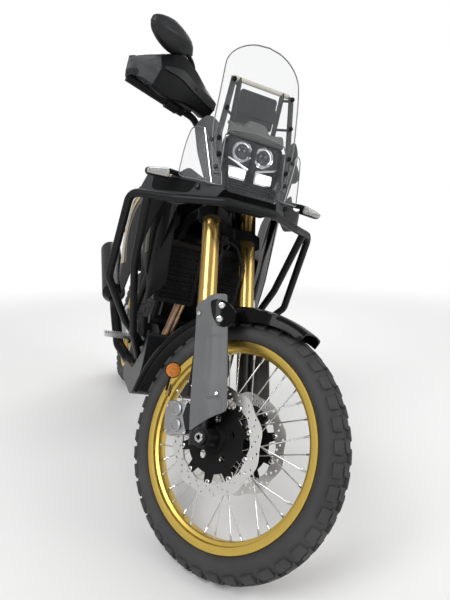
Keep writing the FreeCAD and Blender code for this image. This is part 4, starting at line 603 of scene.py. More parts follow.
class OBJECT_OT_stage(bpy.types.Operator):
    """Pale floor, soft lights and the camera"""
    bl_idname = "object.motorcycle_stage"
    bl_label = "Stage"

    def execute(self, context):
        sizes = context.scene.stage_sizes
        self.floor(sizes)
        self.lights()
        self.camera()
        return {"FINISHED"}

    def floor(self, sizes):
        """Square that takes shadows near the machine and is plain white for the camera further off."""
        half = sizes.floor_size / 2
        mesh = bpy.data.meshes.new("floor")
        mesh.from_pydata([(-half, -half, 0), (half, -half, 0), (half, half, 0), (-half, half, 0)], [], [(0, 1, 2, 3)])
        dark, pale, black, white = tuple(sizes.floor_colour), (0.90, 0.90, 0.895), (0, 0, 0), (1, 1, 1)
        made = Finish("floor", dark, 0.6)
        cloud = made.noise(0.8, 4.0)
        far = made.node("ShaderNodeVectorMath", {"operation": "LENGTH"}, {0: made.spot()}, output=1).step(1.7, 5.5)
        seen = made.node("ShaderNodeLightPath", output="Is Camera Ray") * far
        made.set(Base_Color=made.mix(seen, made.mix(cloud, dark, pale), black),
                 Emission_Color=made.mix(seen, black, white), Emission_Strength=1.0, Specular_IOR_Level=0.0)
        mesh.materials.append(made.material)
        piece = bpy.data.objects.new("floor", mesh)
        bpy.context.scene.collection.objects.link(piece)

    def lights(self):
        """Square lamps, and a world that is white where it is seen, also through glass, and dimmer as a light."""
        for name, place, aim, power, size in LAMPS:
            lamp = bpy.data.lights.new(name, "AREA")
            lamp.energy, lamp.size = power, size
            shown = bpy.data.objects.new(name, lamp)
            back = unit(np.array(place) - np.array(aim))
            side = unit(np.cross([0, 0, 1], back))
            shown.matrix_world = frame_matrix(side, np.cross(back, side), back, place)
            bpy.context.scene.collection.objects.link(shown)
        world = bpy.data.worlds.new("studio")
        bpy.context.scene.world = world
        world.use_nodes = True
        tree = world.node_tree
        background = tree.nodes["Background"]
        background.inputs["Color"].default_value = (1, 1, 1, 1)
        path = tree.nodes.new("ShaderNodeLightPath")
        either = tree.nodes.new("ShaderNodeMath")
        either.operation = "MAXIMUM"
        for socket, ray in enumerate(("Is Camera Ray", "Is Transmission Ray")):
            tree.links.new(path.outputs[ray], either.inputs[socket])
        level = tree.nodes.new("ShaderNodeMapRange")
        level.inputs[3].default_value, level.inputs[4].default_value = WORLD_LIGHT, 1.0
        tree.links.new(either.outputs[0], level.inputs[0])
        tree.links.new(level.outputs[0], background.inputs["Strength"])

    def camera(self):
        """The camera that was found for the upright machine, carried to the parked one."""
        turn, shift = LEANED
        place, back = CAMERA_AT @ turn + shift, unit(-CAMERA_AHEAD @ turn)
        up = unit(CAMERA_UP @ turn)
        lens = bpy.data.cameras.new("camera")
        lens.sensor_fit = "VERTICAL"
        lens.sensor_height = SENSOR_HEIGHT
        lens.lens = SENSOR_HEIGHT * FOCAL_SHARE
        lens.clip_start = 0.05
        shown = bpy.data.objects.new("camera", lens)
        shown.matrix_world = frame_matrix(np.cross(up, back), up, back, place)
        bpy.context.scene.collection.objects.link(shown)
        bpy.context.scene.camera = shown


class OBJECT_OT_node_finishes(bpy.types.Operator):
    """Gives every frame node its finish"""
    bl_idname = "object.motorcycle_node_finishes"
    bl_label = "Frame finishes"

    def execute(self, context):
        looks = {name: look for look, names in NODE_FINISH.items() for name in names}
        for name, node in frame["nodes"].items():
            node.data.materials.clear()
            node.data.materials.append(finish(looks[name]))
        return {"FINISHED"}


# Wheels: axle, tyre's radius, half width and crown radius, bead radius, rim's half width, its well's half width,
# radius and side of the hub's flange
WHEELS = {"front": (FRONT_AXLE, 350, 46, 50, 266.7, 31, 7, 44, 37.6),
          "rear": (REAR_AXLE, 334, 75, 82, 228.6, 57, 12, 64, 45)}
SPOKES = 36

# Discs: wheel, middle, radius, inner radius, lobes, letter added to the names where there are two
DISCS = [("front", FRONT_AXLE + [0, 68, 0], 146, 108, 10, "s"), ("rear", REAR_AXLE + [0, -88, 0], 120, 84, 9, "")]
SPIDER_WINDOWS = 5

# Rows of tread blocks: low and high share of the crown, start and end share of a pitch, slant
TREAD = [(0.02, 0.42, 0.04, 0.62, 0.2), (-0.42, -0.02, 0.54, 1.12, -0.2), (0.50, 1.04, 0.10, 0.74, 0.0),
         (-1.04, -0.50, 0.42, 1.06, 0.0)]


def wheel_turns(angles):
    """Turns about Y, as row-vector matrices, for parts drawn ahead of the axle."""
    c, s, o, e = np.cos(angles), np.sin(angles), np.zeros_like(angles), np.ones_like(angles)
    return np.stack([np.stack([c, o, s], -1), np.stack([o, e, o], -1), np.stack([-s, o, c], -1)], 1)


def tyre(wheel, depth, count):
    """Carcass turned from its section, and blocks laid on the crown: each is a small outline in angle round
    the wheel and angle across the crown, raised from the carcass to the tread radius."""
    axle, radius, half_width, crown, bead, rim_half = WHEELS[wheel][:6]
    centre = radius - crown
    edge = math.asin((half_width - 5) / crown)
    base = crown - depth
    across = np.linspace(edge * 1.02, -edge * 1.02, 15)
    arch = np.stack([centre + base * np.cos(across), base * np.sin(across)], -1)
    share = np.linspace(0, 1, 9)[1:-1]
    top_r, top_y = arch[0]
    bulge = np.sin(share * math.pi)
    wall_r = bead + 10 + (top_r - bead - 10) * share
    wall_y = (rim_half + 1) + (top_y - rim_half - 1) * share + bulge * (half_width - top_y) * 0.9
    ribs = np.array([[bead + 1, rim_half - 6], [bead + 15, rim_half - 3], [bead + 17, rim_half + 3]])
    half = np.concatenate([ribs, np.stack([wall_r, wall_y], -1)[2:]])
    profile = np.concatenate([half, arch, half[::-1] * [1, -1]])
    parts = [turned(profile, 180, origin=axle)]
    turns = np.arange(count) / count * 2 * math.pi
    # A block's rings, from its root in the carcass to its rounded top: distance from the crown's middle, growth
    levels = [(base - 1, 1.06), (crown - 1.0, 1.0), (crown, 0.93)]
    for low, high, start, end, skew in TREAD:
        corners = np.array([[start, low], [end, low], [end, high], [start, high]], float)
        corners[:, 0] += (corners[:, 1] - (low + high) / 2) * skew
        ring = outline([(c[0] * radius * 2 * math.pi / count, c[1] * edge * crown, 2.2) for c in corners], steps=2)
        middle = ring.mean(0)
        rings = []
        for level, grow in levels:
            flat = middle + (ring - middle) * grow
            turn, lean = flat[:, 0] / radius, flat[:, 1] / crown
            reach = centre + level * np.cos(lean)
            rings.append(np.stack([reach * np.cos(turn), level * np.sin(lean), reach * np.sin(turn)], -1))
        block = grid(np.stack(rings), around=True)
        block.ends = [list(range(2 * len(ring), 3 * len(ring)))]
        parts.append(block.repeated(wheel_turns(turns), np.broadcast_to(axle, (count, 3))))
    return joined(parts)


def rim(axle, bead, half):
    """Channel section with rolled flange lips, shouldered bead seats and a rounded well, turned about the axle."""
    wall = 4.0
    lip = bead + 14
    outer = [(lip, half - 1.4), (lip - 1.2, half), (lip - 9, half), (bead - wall - 1, half - 2.5),
             (bead - wall - 2, half - 6), (bead - wall - 3, half * 0.62), (bead - 15, half * 0.5),
             (bead - 17, half * 0.36), (bead - 17, 0)]
    inner = [(bead - 13, 0), (bead - 13, half * 0.36), (bead, half * 0.56), (bead, half - wall), (lip - 1, half - wall),
             (lip, half - wall + 1)]
    right = [(r, -y) for r, y in reversed(inner[1:])]
    left = [(r, -y) for r, y in reversed(outer[:-1])]
    return turned(outer + left + right + inner, 200, origin=axle)


def laced(axle, bead, well, hub_radius, hub_side, wire_radius):
    """Crossed spokes: straight wires from the hub's flange to the rim's well, each with a six-sided nipple, and
    each leaving the flange 52 degrees ahead of or behind its place on the rim."""
    number = np.arange(SPOKES)
    side = np.where(number % 2 == 0, 1, -1)
    trail = np.where(number % 4 < 2, 1, -1)
    at_rim = number / SPOKES * 2 * math.pi
    at_hub = at_rim + trail * math.radians(52)
    lift = np.where(trail > 0, 6.0, 1.4)
    rim_radius = bead - 17.5

    def around(radius, turn, y):
        """Points on a circle about the axle."""
        return np.stack([radius * np.cos(turn), y, radius * np.sin(turn)], -1)

    start = around(hub_radius, at_hub, side * (hub_side + lift))
    end = around(rim_radius, at_rim, side * well)
    run = unit(end - start)
    across = unit(np.cross(run, [0, 1, 0]))
    turns = np.stack([across, run, np.cross(across, run)], 1)
    length = np.linalg.norm(end - start, axis=-1)
    wire = rod((0, 0, 0), (0, 1, 0), wire_radius, 8, 0.0001)
    stretch = np.stack([np.ones(SPOKES), length, np.ones(SPOKES)], -1)[..., None]
    wires = wire.repeated(turns * stretch, start + axle)
    profile = [(0.05, -17), (2.6, -17), (3.3, -15.5), (3.3, -3), (4.4, -1.5), (4.4, 0.3), (0.05, 0.3)]
    nipples = turned(profile, 6).repeated(turns, end + axle)
    return nipples, wires


def filled(outer, holes, half, spacing=None):
    """Flat plate with holes, drawn in the part's X and Y: a constrained triangulation of its outlines, with
    evenly spaced points between them if asked, doubled above and below and joined round every edge."""
    loops = [np.asarray(outer, float)] + [np.asarray(h, float) for h in holes]
    points = np.concatenate(loops)
    if spacing:
        low, high = points.min(0), points.max(0)
        net = np.stack(np.meshgrid(*(np.arange(a, b, spacing) for a, b in zip(low, high))), -1).reshape(-1, 2)
        free = np.linalg.norm(net[:, None] - points, axis=-1).min(1) > spacing * 0.5
        points = np.concatenate([points, net[free & inside(net, loops[0])]])
    starts = np.cumsum([0] + [len(loop) for loop in loops])
    edges = [(a + i, a + (i + 1) % (b - a)) for a, b in zip(starts, starts[1:]) for i in range(b - a)]
    flat, _, faces, *_ = delaunay_2d_cdt([Vector(p) for p in points.tolist()], edges, [], 1, 1e-6)
    flat = np.array(flat)
    faces = np.array(faces)
    middle = flat[faces].mean(1)
    keep = np.ones(len(faces), bool)
    for hole in loops[1:]:
        keep &= ~inside(middle, hole)
    keep &= inside(middle, loops[0])
    faces = faces[keep]
    size = len(flat)
    solid = np.concatenate([np.column_stack([flat, np.full(size, h)]) for h in (-half, half)])
    walls = []
    for number, (a, b) in enumerate(zip(starts, starts[1:])):
        ring = np.arange(a, b)[:: 1 if (area(points[a:b]) > 0) == (number == 0) else -1]
        after = np.roll(ring, -1)
        walls.append(np.stack([ring, after, after + size, ring + size], -1))
    part = Part(solid, np.concatenate(walls))
    part.ends = (faces + size).tolist() + faces[:, ::-1].tolist()
    return part


def resampled(points, step):
    """Closed outline with points added along its longer edges."""
    after = np.roll(points, -1, 0)
    runs = np.maximum(np.ceil(np.linalg.norm(after - points, axis=1) / step), 1).astype(int)
    share = np.concatenate([np.arange(n) / n for n in runs])[:, None]
    return np.repeat(points, runs, 0) * (1 - share) + np.repeat(after, runs, 0) * share


def draped(edge, place, thickness, spacing=12.0):
    """Sheet laid over a surface given as place(u, v, height), with its outline in u and v."""
    flat = filled(resampled(edge, spacing), [], 0.5, spacing)
    u, v, h = flat.points.T
    return Part(place(u, v, (h - 0.5) * thickness), flat.quads, flat.ends)


def smooth(table, count):
    """Catmull-Rom curve through the rows of a table."""
    p = np.asarray(table, float)
    p = np.concatenate([2 * p[:1] - p[1:2], p, 2 * p[-1:] - p[-2:-1]])
    t = np.linspace(0, len(p) - 3 - 1e-9, count)
    i = t.astype(int)
    f = (t - i).reshape((-1,) + (1,) * (p.ndim - 1))
    a, b, c, d = p[i], p[i + 1], p[i + 2], p[i + 3]
    return 0.5 * (2 * b + (c - a) * f + (2 * a - 5 * b + 4 * c - d) * f ** 2 + (3 * b - a - 3 * c + d) * f ** 3)


def eased(value, low, high):
    """Rises smoothly from 0 at low to 1 at high."""
    t = np.clip((value - low) / (high - low), 0, 1)
    return t * t * (3 - 2 * t)


def inside(points, loop):
    """Even-odd test of points against a closed outline, all pairs at once."""
    x, y = points[:, :1], points[:, 1:]
    x0, y0 = loop[:, 0], loop[:, 1]
    x1, y1 = np.roll(x0, -1), np.roll(y0, -1)
    crosses = (y0 > y) != (y1 > y)
    reach = x0 + (y - y0) * (x1 - x0) / np.where(y1 == y0, 1e-9, y1 - y0)
    return (np.sum(crosses & (x < reach), 1) % 2) == 1


def brake_disc(radius, inner, lobes):
    """Waved ring with holes in slanting threes, spider with a lobe at each button and round windows, and the
    buttons that float the ring."""
    def polar(reach, turn):
        """Points in the disc's plane by distance and angle."""
        return np.stack([reach * np.cos(turn), reach * np.sin(turn)], -1)

    turn = np.linspace(0, 2 * math.pi, 240, endpoint=False)
    edge = polar(radius - 3.2 + 3.2 * np.cos(lobes * turn), turn)
    count = lobes * 6
    at = np.arange(count) / count * 2 * math.pi
    reach = inner + 9 + (np.arange(count) % 3) * (radius - inner - 20) / 2
    holes = [circle(3.5, 8) + centre for centre in polar(reach, at)]
    bore = polar(inner + 2.5 - 2.5 * np.cos(lobes * turn[::2]), turn[::2])
    ring = filled(edge, holes + [bore], 2.4)
    spider_turn = np.linspace(0, 2 * math.pi, 200, endpoint=False)
    star = inner * 0.82 + (inner * 0.18 + 4) * np.clip(np.cos(lobes * spider_turn) * 2.2 - 0.3, 0, 1)
    window_turn = (np.arange(SPIDER_WINDOWS) + 0.5) / SPIDER_WINDOWS * 2 * math.pi
    windows = [circle(11, 14) + centre for centre in polar(54, window_turn)]
    spider = filled(polar(star, spider_turn), windows + [circle(30, 32)], 2.8)
    button = turned([(2.0, -4.2), (5.6, -4.2), (7.0, -3.4), (7.0, 3.4), (5.6, 4.2), (2.0, 4.2)], 16, SIDE_VIEW)
    places = polar(inner + 1, np.arange(lobes) / lobes * 2 * math.pi)
    return ring, spider, button.copies(np.pad(places, ((0, 0), (0, 1))))


class OBJECT_OT_wheels(bpy.types.Operator):
    """Tyres with tread blocks, rims, spokes with nipples and brake discs"""
    bl_idname = "object.motorcycle_wheels"
    bl_label = "Wheels"

    def execute(self, context):
        sizes = context.scene.machine_sizes
        self.tyres(sizes)
        self.rims(sizes)
        self.discs()
        return {"FINISHED"}

    def tyres(self, sizes):
        """Both tyres with their blocks."""
        for name, blocks in (("front", sizes.front_blocks), ("rear", sizes.rear_blocks)):
            build(name + "_tyre_tread", name + "_wheel", tyre(name, sizes.tread_depth, blocks), "tyre rubber",
                  [name + "_tyre"], 50)

    def rims(self, sizes):
        """Rims and the spokes that carry them."""
        for name, (axle, _, _, _, bead, half, well, hub_radius, hub_side) in WHEELS.items():
            body = name + "_wheel"
            build(name + "_rim_ring", body, rim(axle, bead, half), "gold rim", [name + "_rim"], 28)
            nipple, wire = laced(axle, bead, well, hub_radius, hub_side, sizes.spoke_radius)
            build(name + "_spoke_wires", body, wire, "bright steel", [name + "_spokes"], 50)
            build(name + "_spoke_nipples", body, nipple, "bright steel", crease=50)

    def discs(self):
        """Waved rings with slanting holes on dark carriers with round buttons; the front wheel has two."""
        for name, middle, radius, inner, lobes, more in DISCS:
            body = name + "_wheel"
            parts = [part.at(middle, SIDE_VIEW) for part in brake_disc(radius, inner, lobes)]
            ring, carrier, button = [part.both() for part in parts] if more else parts
            build(f"{name}_disc_ring{more}", body, ring, "brake steel", [f"{name}_disc{more}"], 30)
            build(f"{name}_disc_carrier{more}", body, carrier, "black casting", crease=30)
            build(f"{name}_disc_buttons", body, button, "bright steel")


# Nose

NOSE = np.array([1260.0, 0, 1130])
# Screen: its foot, its lean, its cylinder's radius, its thickness and where the legs' inner edges run
SCREEN_FOOT = NOSE + [71, 0, -45]
TILT = math.radians(12)
SCREEN_FRAME = np.array([[math.cos(TILT), 0, math.sin(TILT)], [0, 1, 0], [-math.sin(TILT), 0, math.cos(TILT)]])
SCREEN_RADIUS = 244.7
SCREEN_THICK = 3.4
LEG_INNER = 101
LAMP_OUTLINE = [(-80, -100, 14), (80, -100, 14), (96, 0, 30), (92, 80, 20), (-92, 80, 20), (-96, 0, 30)]


def lamp_depth(height, out):
    """X of the lamp's slanted front at a height over the nose, moved out."""
    return NOSE[0] + 122 - (height + 96) * 60 / 172 + out


def lamp_skin(points, out, back, bevel):
    """Outline in front view carried from the slanted front, moved out, to a plane behind it."""
    points = anticlockwise(points)
    rings = []
    for share, drop in ((1.0, 0.0), (0.02, 0.0), (0.0, bevel)):
        flat = inset(points, drop)
        depth = lamp_depth(flat[:, 1], out) * (1 - share) + (NOSE[0] + back) * share
        rings.append(np.column_stack([depth, flat[:, 0], NOSE[2] + flat[:, 1]]))
    return grid(np.stack(rings), around=True, ends=True)


class OBJECT_OT_headlamp(bpy.types.Operator):
    """Lamp: cup with a bezel, two projectors over two glowing modules, and the slanted glass"""
    bl_idname = "object.motorcycle_headlamp"
    bl_label = "Headlamp"

    def execute(self, context):
        edge = outline(LAMP_OUTLINE, 14)
        self.cup(anticlockwise(edge))
        self.optics()
        build("lamp_glass_front", "chassis", lamp_skin(edge, 3.3, 58, 2.5), "lamp glass", crease=50)
        return {"FINISHED"}

    def cup(self, edge):
        """Rings of the lamp's outline: up the outside, over a bezel, and down inside to a floor behind the optics."""
        rings = []
        # Inset, and either a plane ahead of the nose or a distance behind the slanted front
        for drop, plane, behind in ((26, 9, None), (10, 9, None), (0, 20, None), (0, None, 4), (3, None, 0),
                                    (9, None, 0), (13, 26, None), (16, 26, None)):
            flat = inset(edge, drop)
            depth = lamp_depth(flat[:, 1], -2.0) - behind if plane is None else np.full(len(flat), NOSE[0] + plane)
            rings.append(np.column_stack([depth, flat[:, 0], NOSE[2] + flat[:, 1]]))
        build("lamp_cup", "chassis", grid(np.stack(rings), around=True, ends=True), "gloss black", ["headlamp"],
              30)

    def optics(self):
        """Lens domes in stepped rings, light modules in bright frames and the strips between them."""
        facing = np.array([[0, 1, 0], [1, 0, 0], [0, 0, 1]])
        bowl = [(0.05, 0), (31, 0), (33, 6), (33, 24), (31.5, 25.5), (30, 24), (29, 16), (25, 13), (24, 22),
                (22.5, 23.5), (21, 22), (20, 12), (0.05, 12)]
        dome = [(0.05, 12), (20, 12), (20, 17), (16.5, 25), (9, 30.5), (0.05, 32.5)]

        def block(edge, low, high, bevel):
            """Outline in front view, from low to high ahead of the nose."""
            return plate(edge, low, high, bevel, FRONT_VIEW, NOSE)

        rings, lenses, modules, frames, fins = [], [], [], [], []
        for side in SIDES:
            at = NOSE + np.array([30, side * 36, 36])
            rings.append(turned(bowl, 40, facing, at))
            lenses.append(turned(dome, 40, facing, at))
            modules.append(block(rectangle(side * 20, -44, side * 70, -20, 4), 40, 74, 2.0))
            frames.append(block(rectangle(side * 14, -50, side * 76, -14, 6), 30, 68, 2.5))
            strip = outline([(side * 12, -12), (side * 84, 10), (side * 84, 4), (side * 12, -19)], 1.2)
            frames.append(block(strip, 30, 74, 1.5))
        for number in range(4):
            low, half = -58 - number * 8, 68 - number
            fins.append(block(rectangle(-half, low, half, low + 4, 1.0), 34, 66 + number * 3, 1.2))
        divider = block(outline([(-5, -84), (5, -84), (8, 62), (-8, 62)], 3), 30, 66, 2)
        shelf = block(rectangle(-80, -88, 80, -84, 1), 24, 92, 1)
        for name, parts, look, crease in (("rings", rings, "chrome", 35), ("lenses", lenses, "dark glass", 50),
                                          ("modules", modules, "lit module", 40), ("frames", frames, "chrome", 35),
                                          ("fins", fins, "dark alloy", 35)):
            build("lamp_" + name, "chassis", joined(parts), look, crease=crease)
        build("lamp_divider", "chassis", divider + shelf, "gloss black", crease=35)


def screen_surface(side, up, out=0.0):
    """Point of the screen by its side and its height along the sheet: part of a leaning cylinder that curls
    back towards its top, with the square of the height over 250."""
    radius = SCREEN_RADIUS + out
    curl = 26 * (np.clip(up - 250, 0, None) / 180) ** 2
    x = 40 - SCREEN_RADIUS + np.sqrt(radius ** 2 - side ** 2) - curl
    return SCREEN_FOOT + np.stack([x, side, up], -1) @ SCREEN_FRAME


def screen_half(up):
    """Half width of the screen at a height along the sheet: widest a third of the way up, rounded over at the top."""
    wide = np.interp(up, [-6, 60, 140, 300, 380, 428], [118, 130, 137, 129, 124, 118])
    fall = np.clip((up - 330) / 98, 0, 1)
    return wide * np.sqrt(np.clip(1 - fall ** 2.6, 0, 1)) * 0.995 + 1


class OBJECT_OT_screen(bpy.types.Operator):
    """Clear screen with a painted edge line round its rim, legs, bolts and cross bar"""
    bl_idname = "object.motorcycle_screen"
    bl_label = "Windscreen"

    def execute(self, context):
        self.sheet()
        self.fittings()
        return {"FINISHED"}

    def sheet(self):
        """Upper sheet and a leg each side of the lamp as grids over height and side, with an inner face behind."""
        up = 128 + 300 * np.linspace(0, 1, 60) ** 0.75
        share = np.linspace(-1, 1, 41)
        side = screen_half(up)[:, None] * share
        high = np.broadcast_to(up[:, None], side.shape)
        leg_up = np.linspace(-6, 128, 30)[:, None]
        leg_side = LEG_INNER + np.linspace(0, 1, 7) * (screen_half(leg_up) - LEG_INNER)
        leg_high = np.broadcast_to(leg_up, leg_side.shape)
        sheets = []
        for a, b in ((side, high), (leg_side, leg_high), (-leg_side[:, ::-1], leg_high)):
            sheets.append(grid(screen_surface(a, b)))
            inner = grid(screen_surface(a, b, -SCREEN_THICK))
            inner.quads = inner.quads[:, ::-1]
            sheets.append(inner)
        build("screen_sheet", "chassis", joined(sheets), "screen", ["windscreen"], 60)
        top = np.column_stack([screen_half(up), up])
        leg = np.column_stack([screen_half(leg_up[:, 0]), leg_up[:, 0]])
        low = np.array([[LEG_INNER, -6], [LEG_INNER, 60], [LEG_INNER, 110], [92, 128], [50, 131], [0, 132]])
        right = np.concatenate([low[::-1], leg, top])
        edge = np.concatenate([right, (right * [-1, 1])[::-1][1:-1]])
        path = screen_surface(edge[:, 0], edge[:, 1], -SCREEN_THICK / 2)
        path = path[np.linalg.norm(np.diff(path, axis=0, append=path[:1]), axis=1) > 0.5]
        # Painted edge line: an opaque grey tube round the sheet's rim, standing in for the light and shade seen along
        # the clear edge
        build("screen_edge", "chassis", swept(path, circle(2.1, 8), closed=True, up=(1, 0, 0.2)), "screen edge",
              crease=60)

    def fittings(self):
        """Bolts through the sheet, flat curved arms behind its sides, the pale cross bar and the display's face."""
        bolts = []
        for up, side in ((50, 112), (100, 118), (195, 108), (288, 99)):
            out = unit(np.array([1, side / SCREEN_RADIUS, 0.2]))
            bolts.append(bolt(screen_surface(np.array(side), np.array(up), 0.3), out, 7.5, 5))
            bolts.append(bolt(screen_surface(np.array(side), np.array(up), -3.8), -out, 6, 4))
        up = np.linspace(40, 300, 30)
        line = screen_surface(np.interp(up, [40, 120, 300], [108, 116, 98]), up, -9)
        arm = swept(line, rectangle(-9, -2, 9, 2, 1.4, 3), up=(1, 0, 0.2))
        build("screen_bolts", "chassis", joined(bolts).both(), "black plastic", crease=40)
        build("screen_arms", "chassis", arm.both(), "satin black", crease=40)
        bar = rod(NOSE + [0, -97, 255], NOSE + [0, 97, 255], 7.6, 20)
        build("cross_bar", "chassis", bar, "pale bar")
        face = plate(rectangle(-57, 139, 57, 227, 8), -28.5, -27, 0.4, FRONT_VIEW, NOSE)
        build("display_glass", "chassis", face, "dark glass")


# Controls, on the steering

# Hand guard's sections from the lever's root to the tip: side, top x z, ridge x z, foot of the ridge x z, low edge x z
GUARD = [(-190, 1071, 1298, 1094, 1282, 1101, 1248, 1090, 1222), (-235, 1066, 1310, 1089, 1283, 1097, 1246, 1089, 1220),
         (-285, 1059, 1328, 1083, 1284, 1090, 1249, 1083, 1210), (-335, 1047, 1337, 1071, 1291, 1079, 1256, 1070, 1191),
         (-385, 1029, 1304, 1054, 1266, 1062, 1252, 1054, 1192), (-430, 1015, 1268, 1039, 1246, 1046, 1222, 1038, 1194),
         (-462, 1000, 1238, 1016, 1226, 1022, 1208, 1014, 1190)]
BAR_END = np.array([977.1, -430, 1197.1])
# Mirror's outline, right side: side, height
LEAF = [(-466, 1357), (-463, 1376), (-441, 1393), (-402, 1409), (-356, 1411), (-318, 1404), (-299, 1384), (-298, 1365),
        (-332, 1343), (-368, 1327), (-414, 1326), (-451, 1338)]
# Plane of the mirrors' heads, and the foot of the right stalk
MIRROR_AHEAD = 1026.0
MIRROR_FOOT = (1034, -257.5, 1222)


class OBJECT_OT_controls(bpy.types.Operator):
    """Hand guards with smoked tips, and leaf-shaped mirrors on bent stalks"""
    bl_idname = "object.motorcycle_controls"
    bl_label = "Controls"

    def execute(self, context):
        self.guards()
        self.mirrors()
        return {"FINISHED"}

    def guards(self):
        """Deep shells: seven sections, each a loop from the curled-back top edge over the ridge to the low edge
        and back inside, joined by smooth curves; the outer third is the smoked tip."""
        table = np.array(GUARD, float)
        side = table[:, 0]
        rows = [np.stack([table[:, k], side, table[:, k + 1]], -1) for k in (1, 3, 5, 7)]
        taper = np.array([1, 1, 1, 1, 1, 0.8, 0.15])[:, None]
        back, under = rows[0] + taper * [-52, 0, 2], rows[3] + taper * [-44, 0, 6]
        front = [back, rows[0] + [-14, 0, 5], rows[0], rows[1], rows[1] + [3, 0, -4], rows[2], rows[3] + [0, 0, 4],
                 rows[3] + [-8, 0, -1], under]
        loop = np.stack(front + [p + [-3.5, 0, -1.5 * (p is back)] for p in front[::-1]], 1)
        fine = smooth(loop, 61)
        body, tip = fine[:43], fine[42:]
        shell = grid(body, around=True, ends=True)
        ridge = smooth(np.stack([rows[1] + [1.5, 0, 1], rows[2] + [2.5, 0, 0]], 1)[:5], 40)
        share = np.linspace(0.12, 0.9, 8)[None, :, None]
        panel = ridge[:, :1] * (1 - share) + ridge[:, 1:] * share
        panel = np.concatenate([panel + [2.2, 0, 0], panel[:, ::-1] - [5, 0, 0]], 1)
        build("guard_shells", "steering", shell.both(), "black plastic", ["hand_guards"], 32)
        build("guard_tips", "steering", grid(tip, around=True, ends=True).both(), "smoked lens",
              crease=32)
        build("guard_ridges", "steering", grid(panel, around=True, ends=True).both(), "satin black",
              crease=32)
        arm = tube([BAR_END + [-2, -4, 0], BAR_END + [20, -20, 2], BAR_END + [48, -12, 6]], 9, 12)
        screw = bolt(smooth(rows[2] * 0.5 + rows[1] * 0.5, 20)[6] + [2.5, 0, 0], [1, -0.2, 0.3], 6, 4)
        build("guard_arms", "steering", arm.both(), "powder coat")
        build("guard_screws", "steering", screw.both(), "dark alloy")

    def mirrors(self):
        """Head swollen from its leaf outline as a flattened dome with a soft crease, set-in glass, and the stalk."""
        edge = smooth(LEAF + LEAF[:1], 73)[:-1]
        middle = edge.mean(0)
        along = unit(np.array([0.96, 0.28]))
        rings = []
        back = [(0.88, -17), (0.97, -18), (1.0, -14), (1.0, -8), (0.99, -4)]
        dome = [(share, None) for share in (0.96, 0.9, 0.8, 0.68, 0.54, 0.4, 0.26, 0.12, 0.02)]
        for share, depth in back + dome:
            flat = middle + (edge - middle) * share
            crease = np.exp(-((flat - middle) @ [-along[1], along[0]] / 10) ** 2)
            rise = depth if depth is not None else 24 * (1 - share ** 2) ** 0.6 - 4 + 4 * crease * (1 - share ** 2)
            rings.append(np.column_stack([np.broadcast_to(MIRROR_AHEAD + rise, (len(flat),)), flat]))
        head = grid(np.stack(rings), around=True, ends=True)
        glass = plate(middle + (edge - middle) * 0.93, 1006, 1009.5, 0.4, FRONT_VIEW)
        stalk = tube([(1034, -257.5, 1226), (1034, -259, 1310), (1033, -285, 1352), (1026, -340, 1366)], 6.5, 24)
        boot = turned([(0.1, 0), (12, 0), (13, 3), (11, 22), (8, 26), (0.1, 26)], 24, SIDE_VIEW, MIRROR_FOOT)
        build("mirror_heads", "steering", head.both(), "satin black", ["mirrors"], 40)
        build("mirror_glass", "steering", glass.both(), "chrome")
        build("mirror_stalks", "steering", (stalk + boot).both(), "black plastic")


# Nose panels, on the chassis; right side drawn

# Hump of the brow: its height, and its share by the side
HUMP = 24
BROW = [(0, 1.0), (24, 0.95), (34, 0.5), (44, 0.0), (66, 0.05), (90, 0.3)]


def screen_skin(offset):
    """Places (side, height) on the screen's own surface, moved outwards."""
    def place(side, height, out):
        """Point of the screen beside a height over the ground."""
        return screen_surface(side, (height - SCREEN_FOOT[2]) / math.cos(TILT), offset + out)
    return place


def flank_skin(side, height, out):
    """Facet that runs back and out from beside the lamp."""
    return np.stack([1385 - (np.abs(side) - 70) / 0.9 + out * 0.7 + 6 * eased(height, 1000, 1060), side, height], -1)


def shroud_skin(ahead, height, out):
    """Side of the tank's shroud, wider towards the rider."""
    wide = np.interp(ahead, [840, 930, 1060, 1180, 1360], [236, 226, 205, 180, 116])
    return np.stack([ahead, -(wide + out + 5 * eased(height, 860, 1010)), height], -1)


def wing_skin(ahead, height, out):
    """Outer shroud beside the crash bar."""
    wide = np.interp(ahead, [860, 950, 1060, 1160], [286, 280, 252, 200])
    return np.stack([ahead, -(wide + out), height], -1)


def radiator_skin(ahead, height, out):
    """Duct beside the radiator, narrower towards the front wheel."""
    wide = np.interp(ahead, [1050, 1120, 1200], [205, 196, 160])
    return np.stack([ahead, -(wide + out), height], -1)


def step_skin(side, height, out):
    """The flank's facet, stepped out."""
    return flank_skin(side, height, out + 4)


def chin_skin(side, height, out):
    """Face under the lamp that falls away downwards and sideways."""
    return np.stack([1378 - (1034 - height) * 0.8 - (side / 40) ** 2 * 1.2 + out, side, height], -1)


def panels(name, edge, skin, thickness, look, crease=30):
    """Builds a sheet drawn on the right side, with its mirror image."""
    build(name, "chassis", draped(edge, skin, thickness).both(), look, crease=crease)


# Stripes along the shrouds: name, line ahead and up, surface, finish
STRIPES = [("white", [(1010, 1022), (930, 960), (905, 850), (935, 740)], wing_skin, "white panel"),
           ("gold", [(1034, 1018), (956, 950), (929, 850), (958, 745)], wing_skin, "gold stripe"),
           ("grey", [(1056, 1010), (980, 940), (952, 850), (980, 750)], wing_skin, "satin stay"),
           ("inner_white", [(1100, 1078), (1010, 1010), (985, 900), (1010, 800)], shroud_skin, "white panel"),
           ("inner_gold", [(1118, 1074), (1030, 1004), (1006, 900), (1030, 806)], shroud_skin, "gold stripe")]
STRIPE_HALF = 8


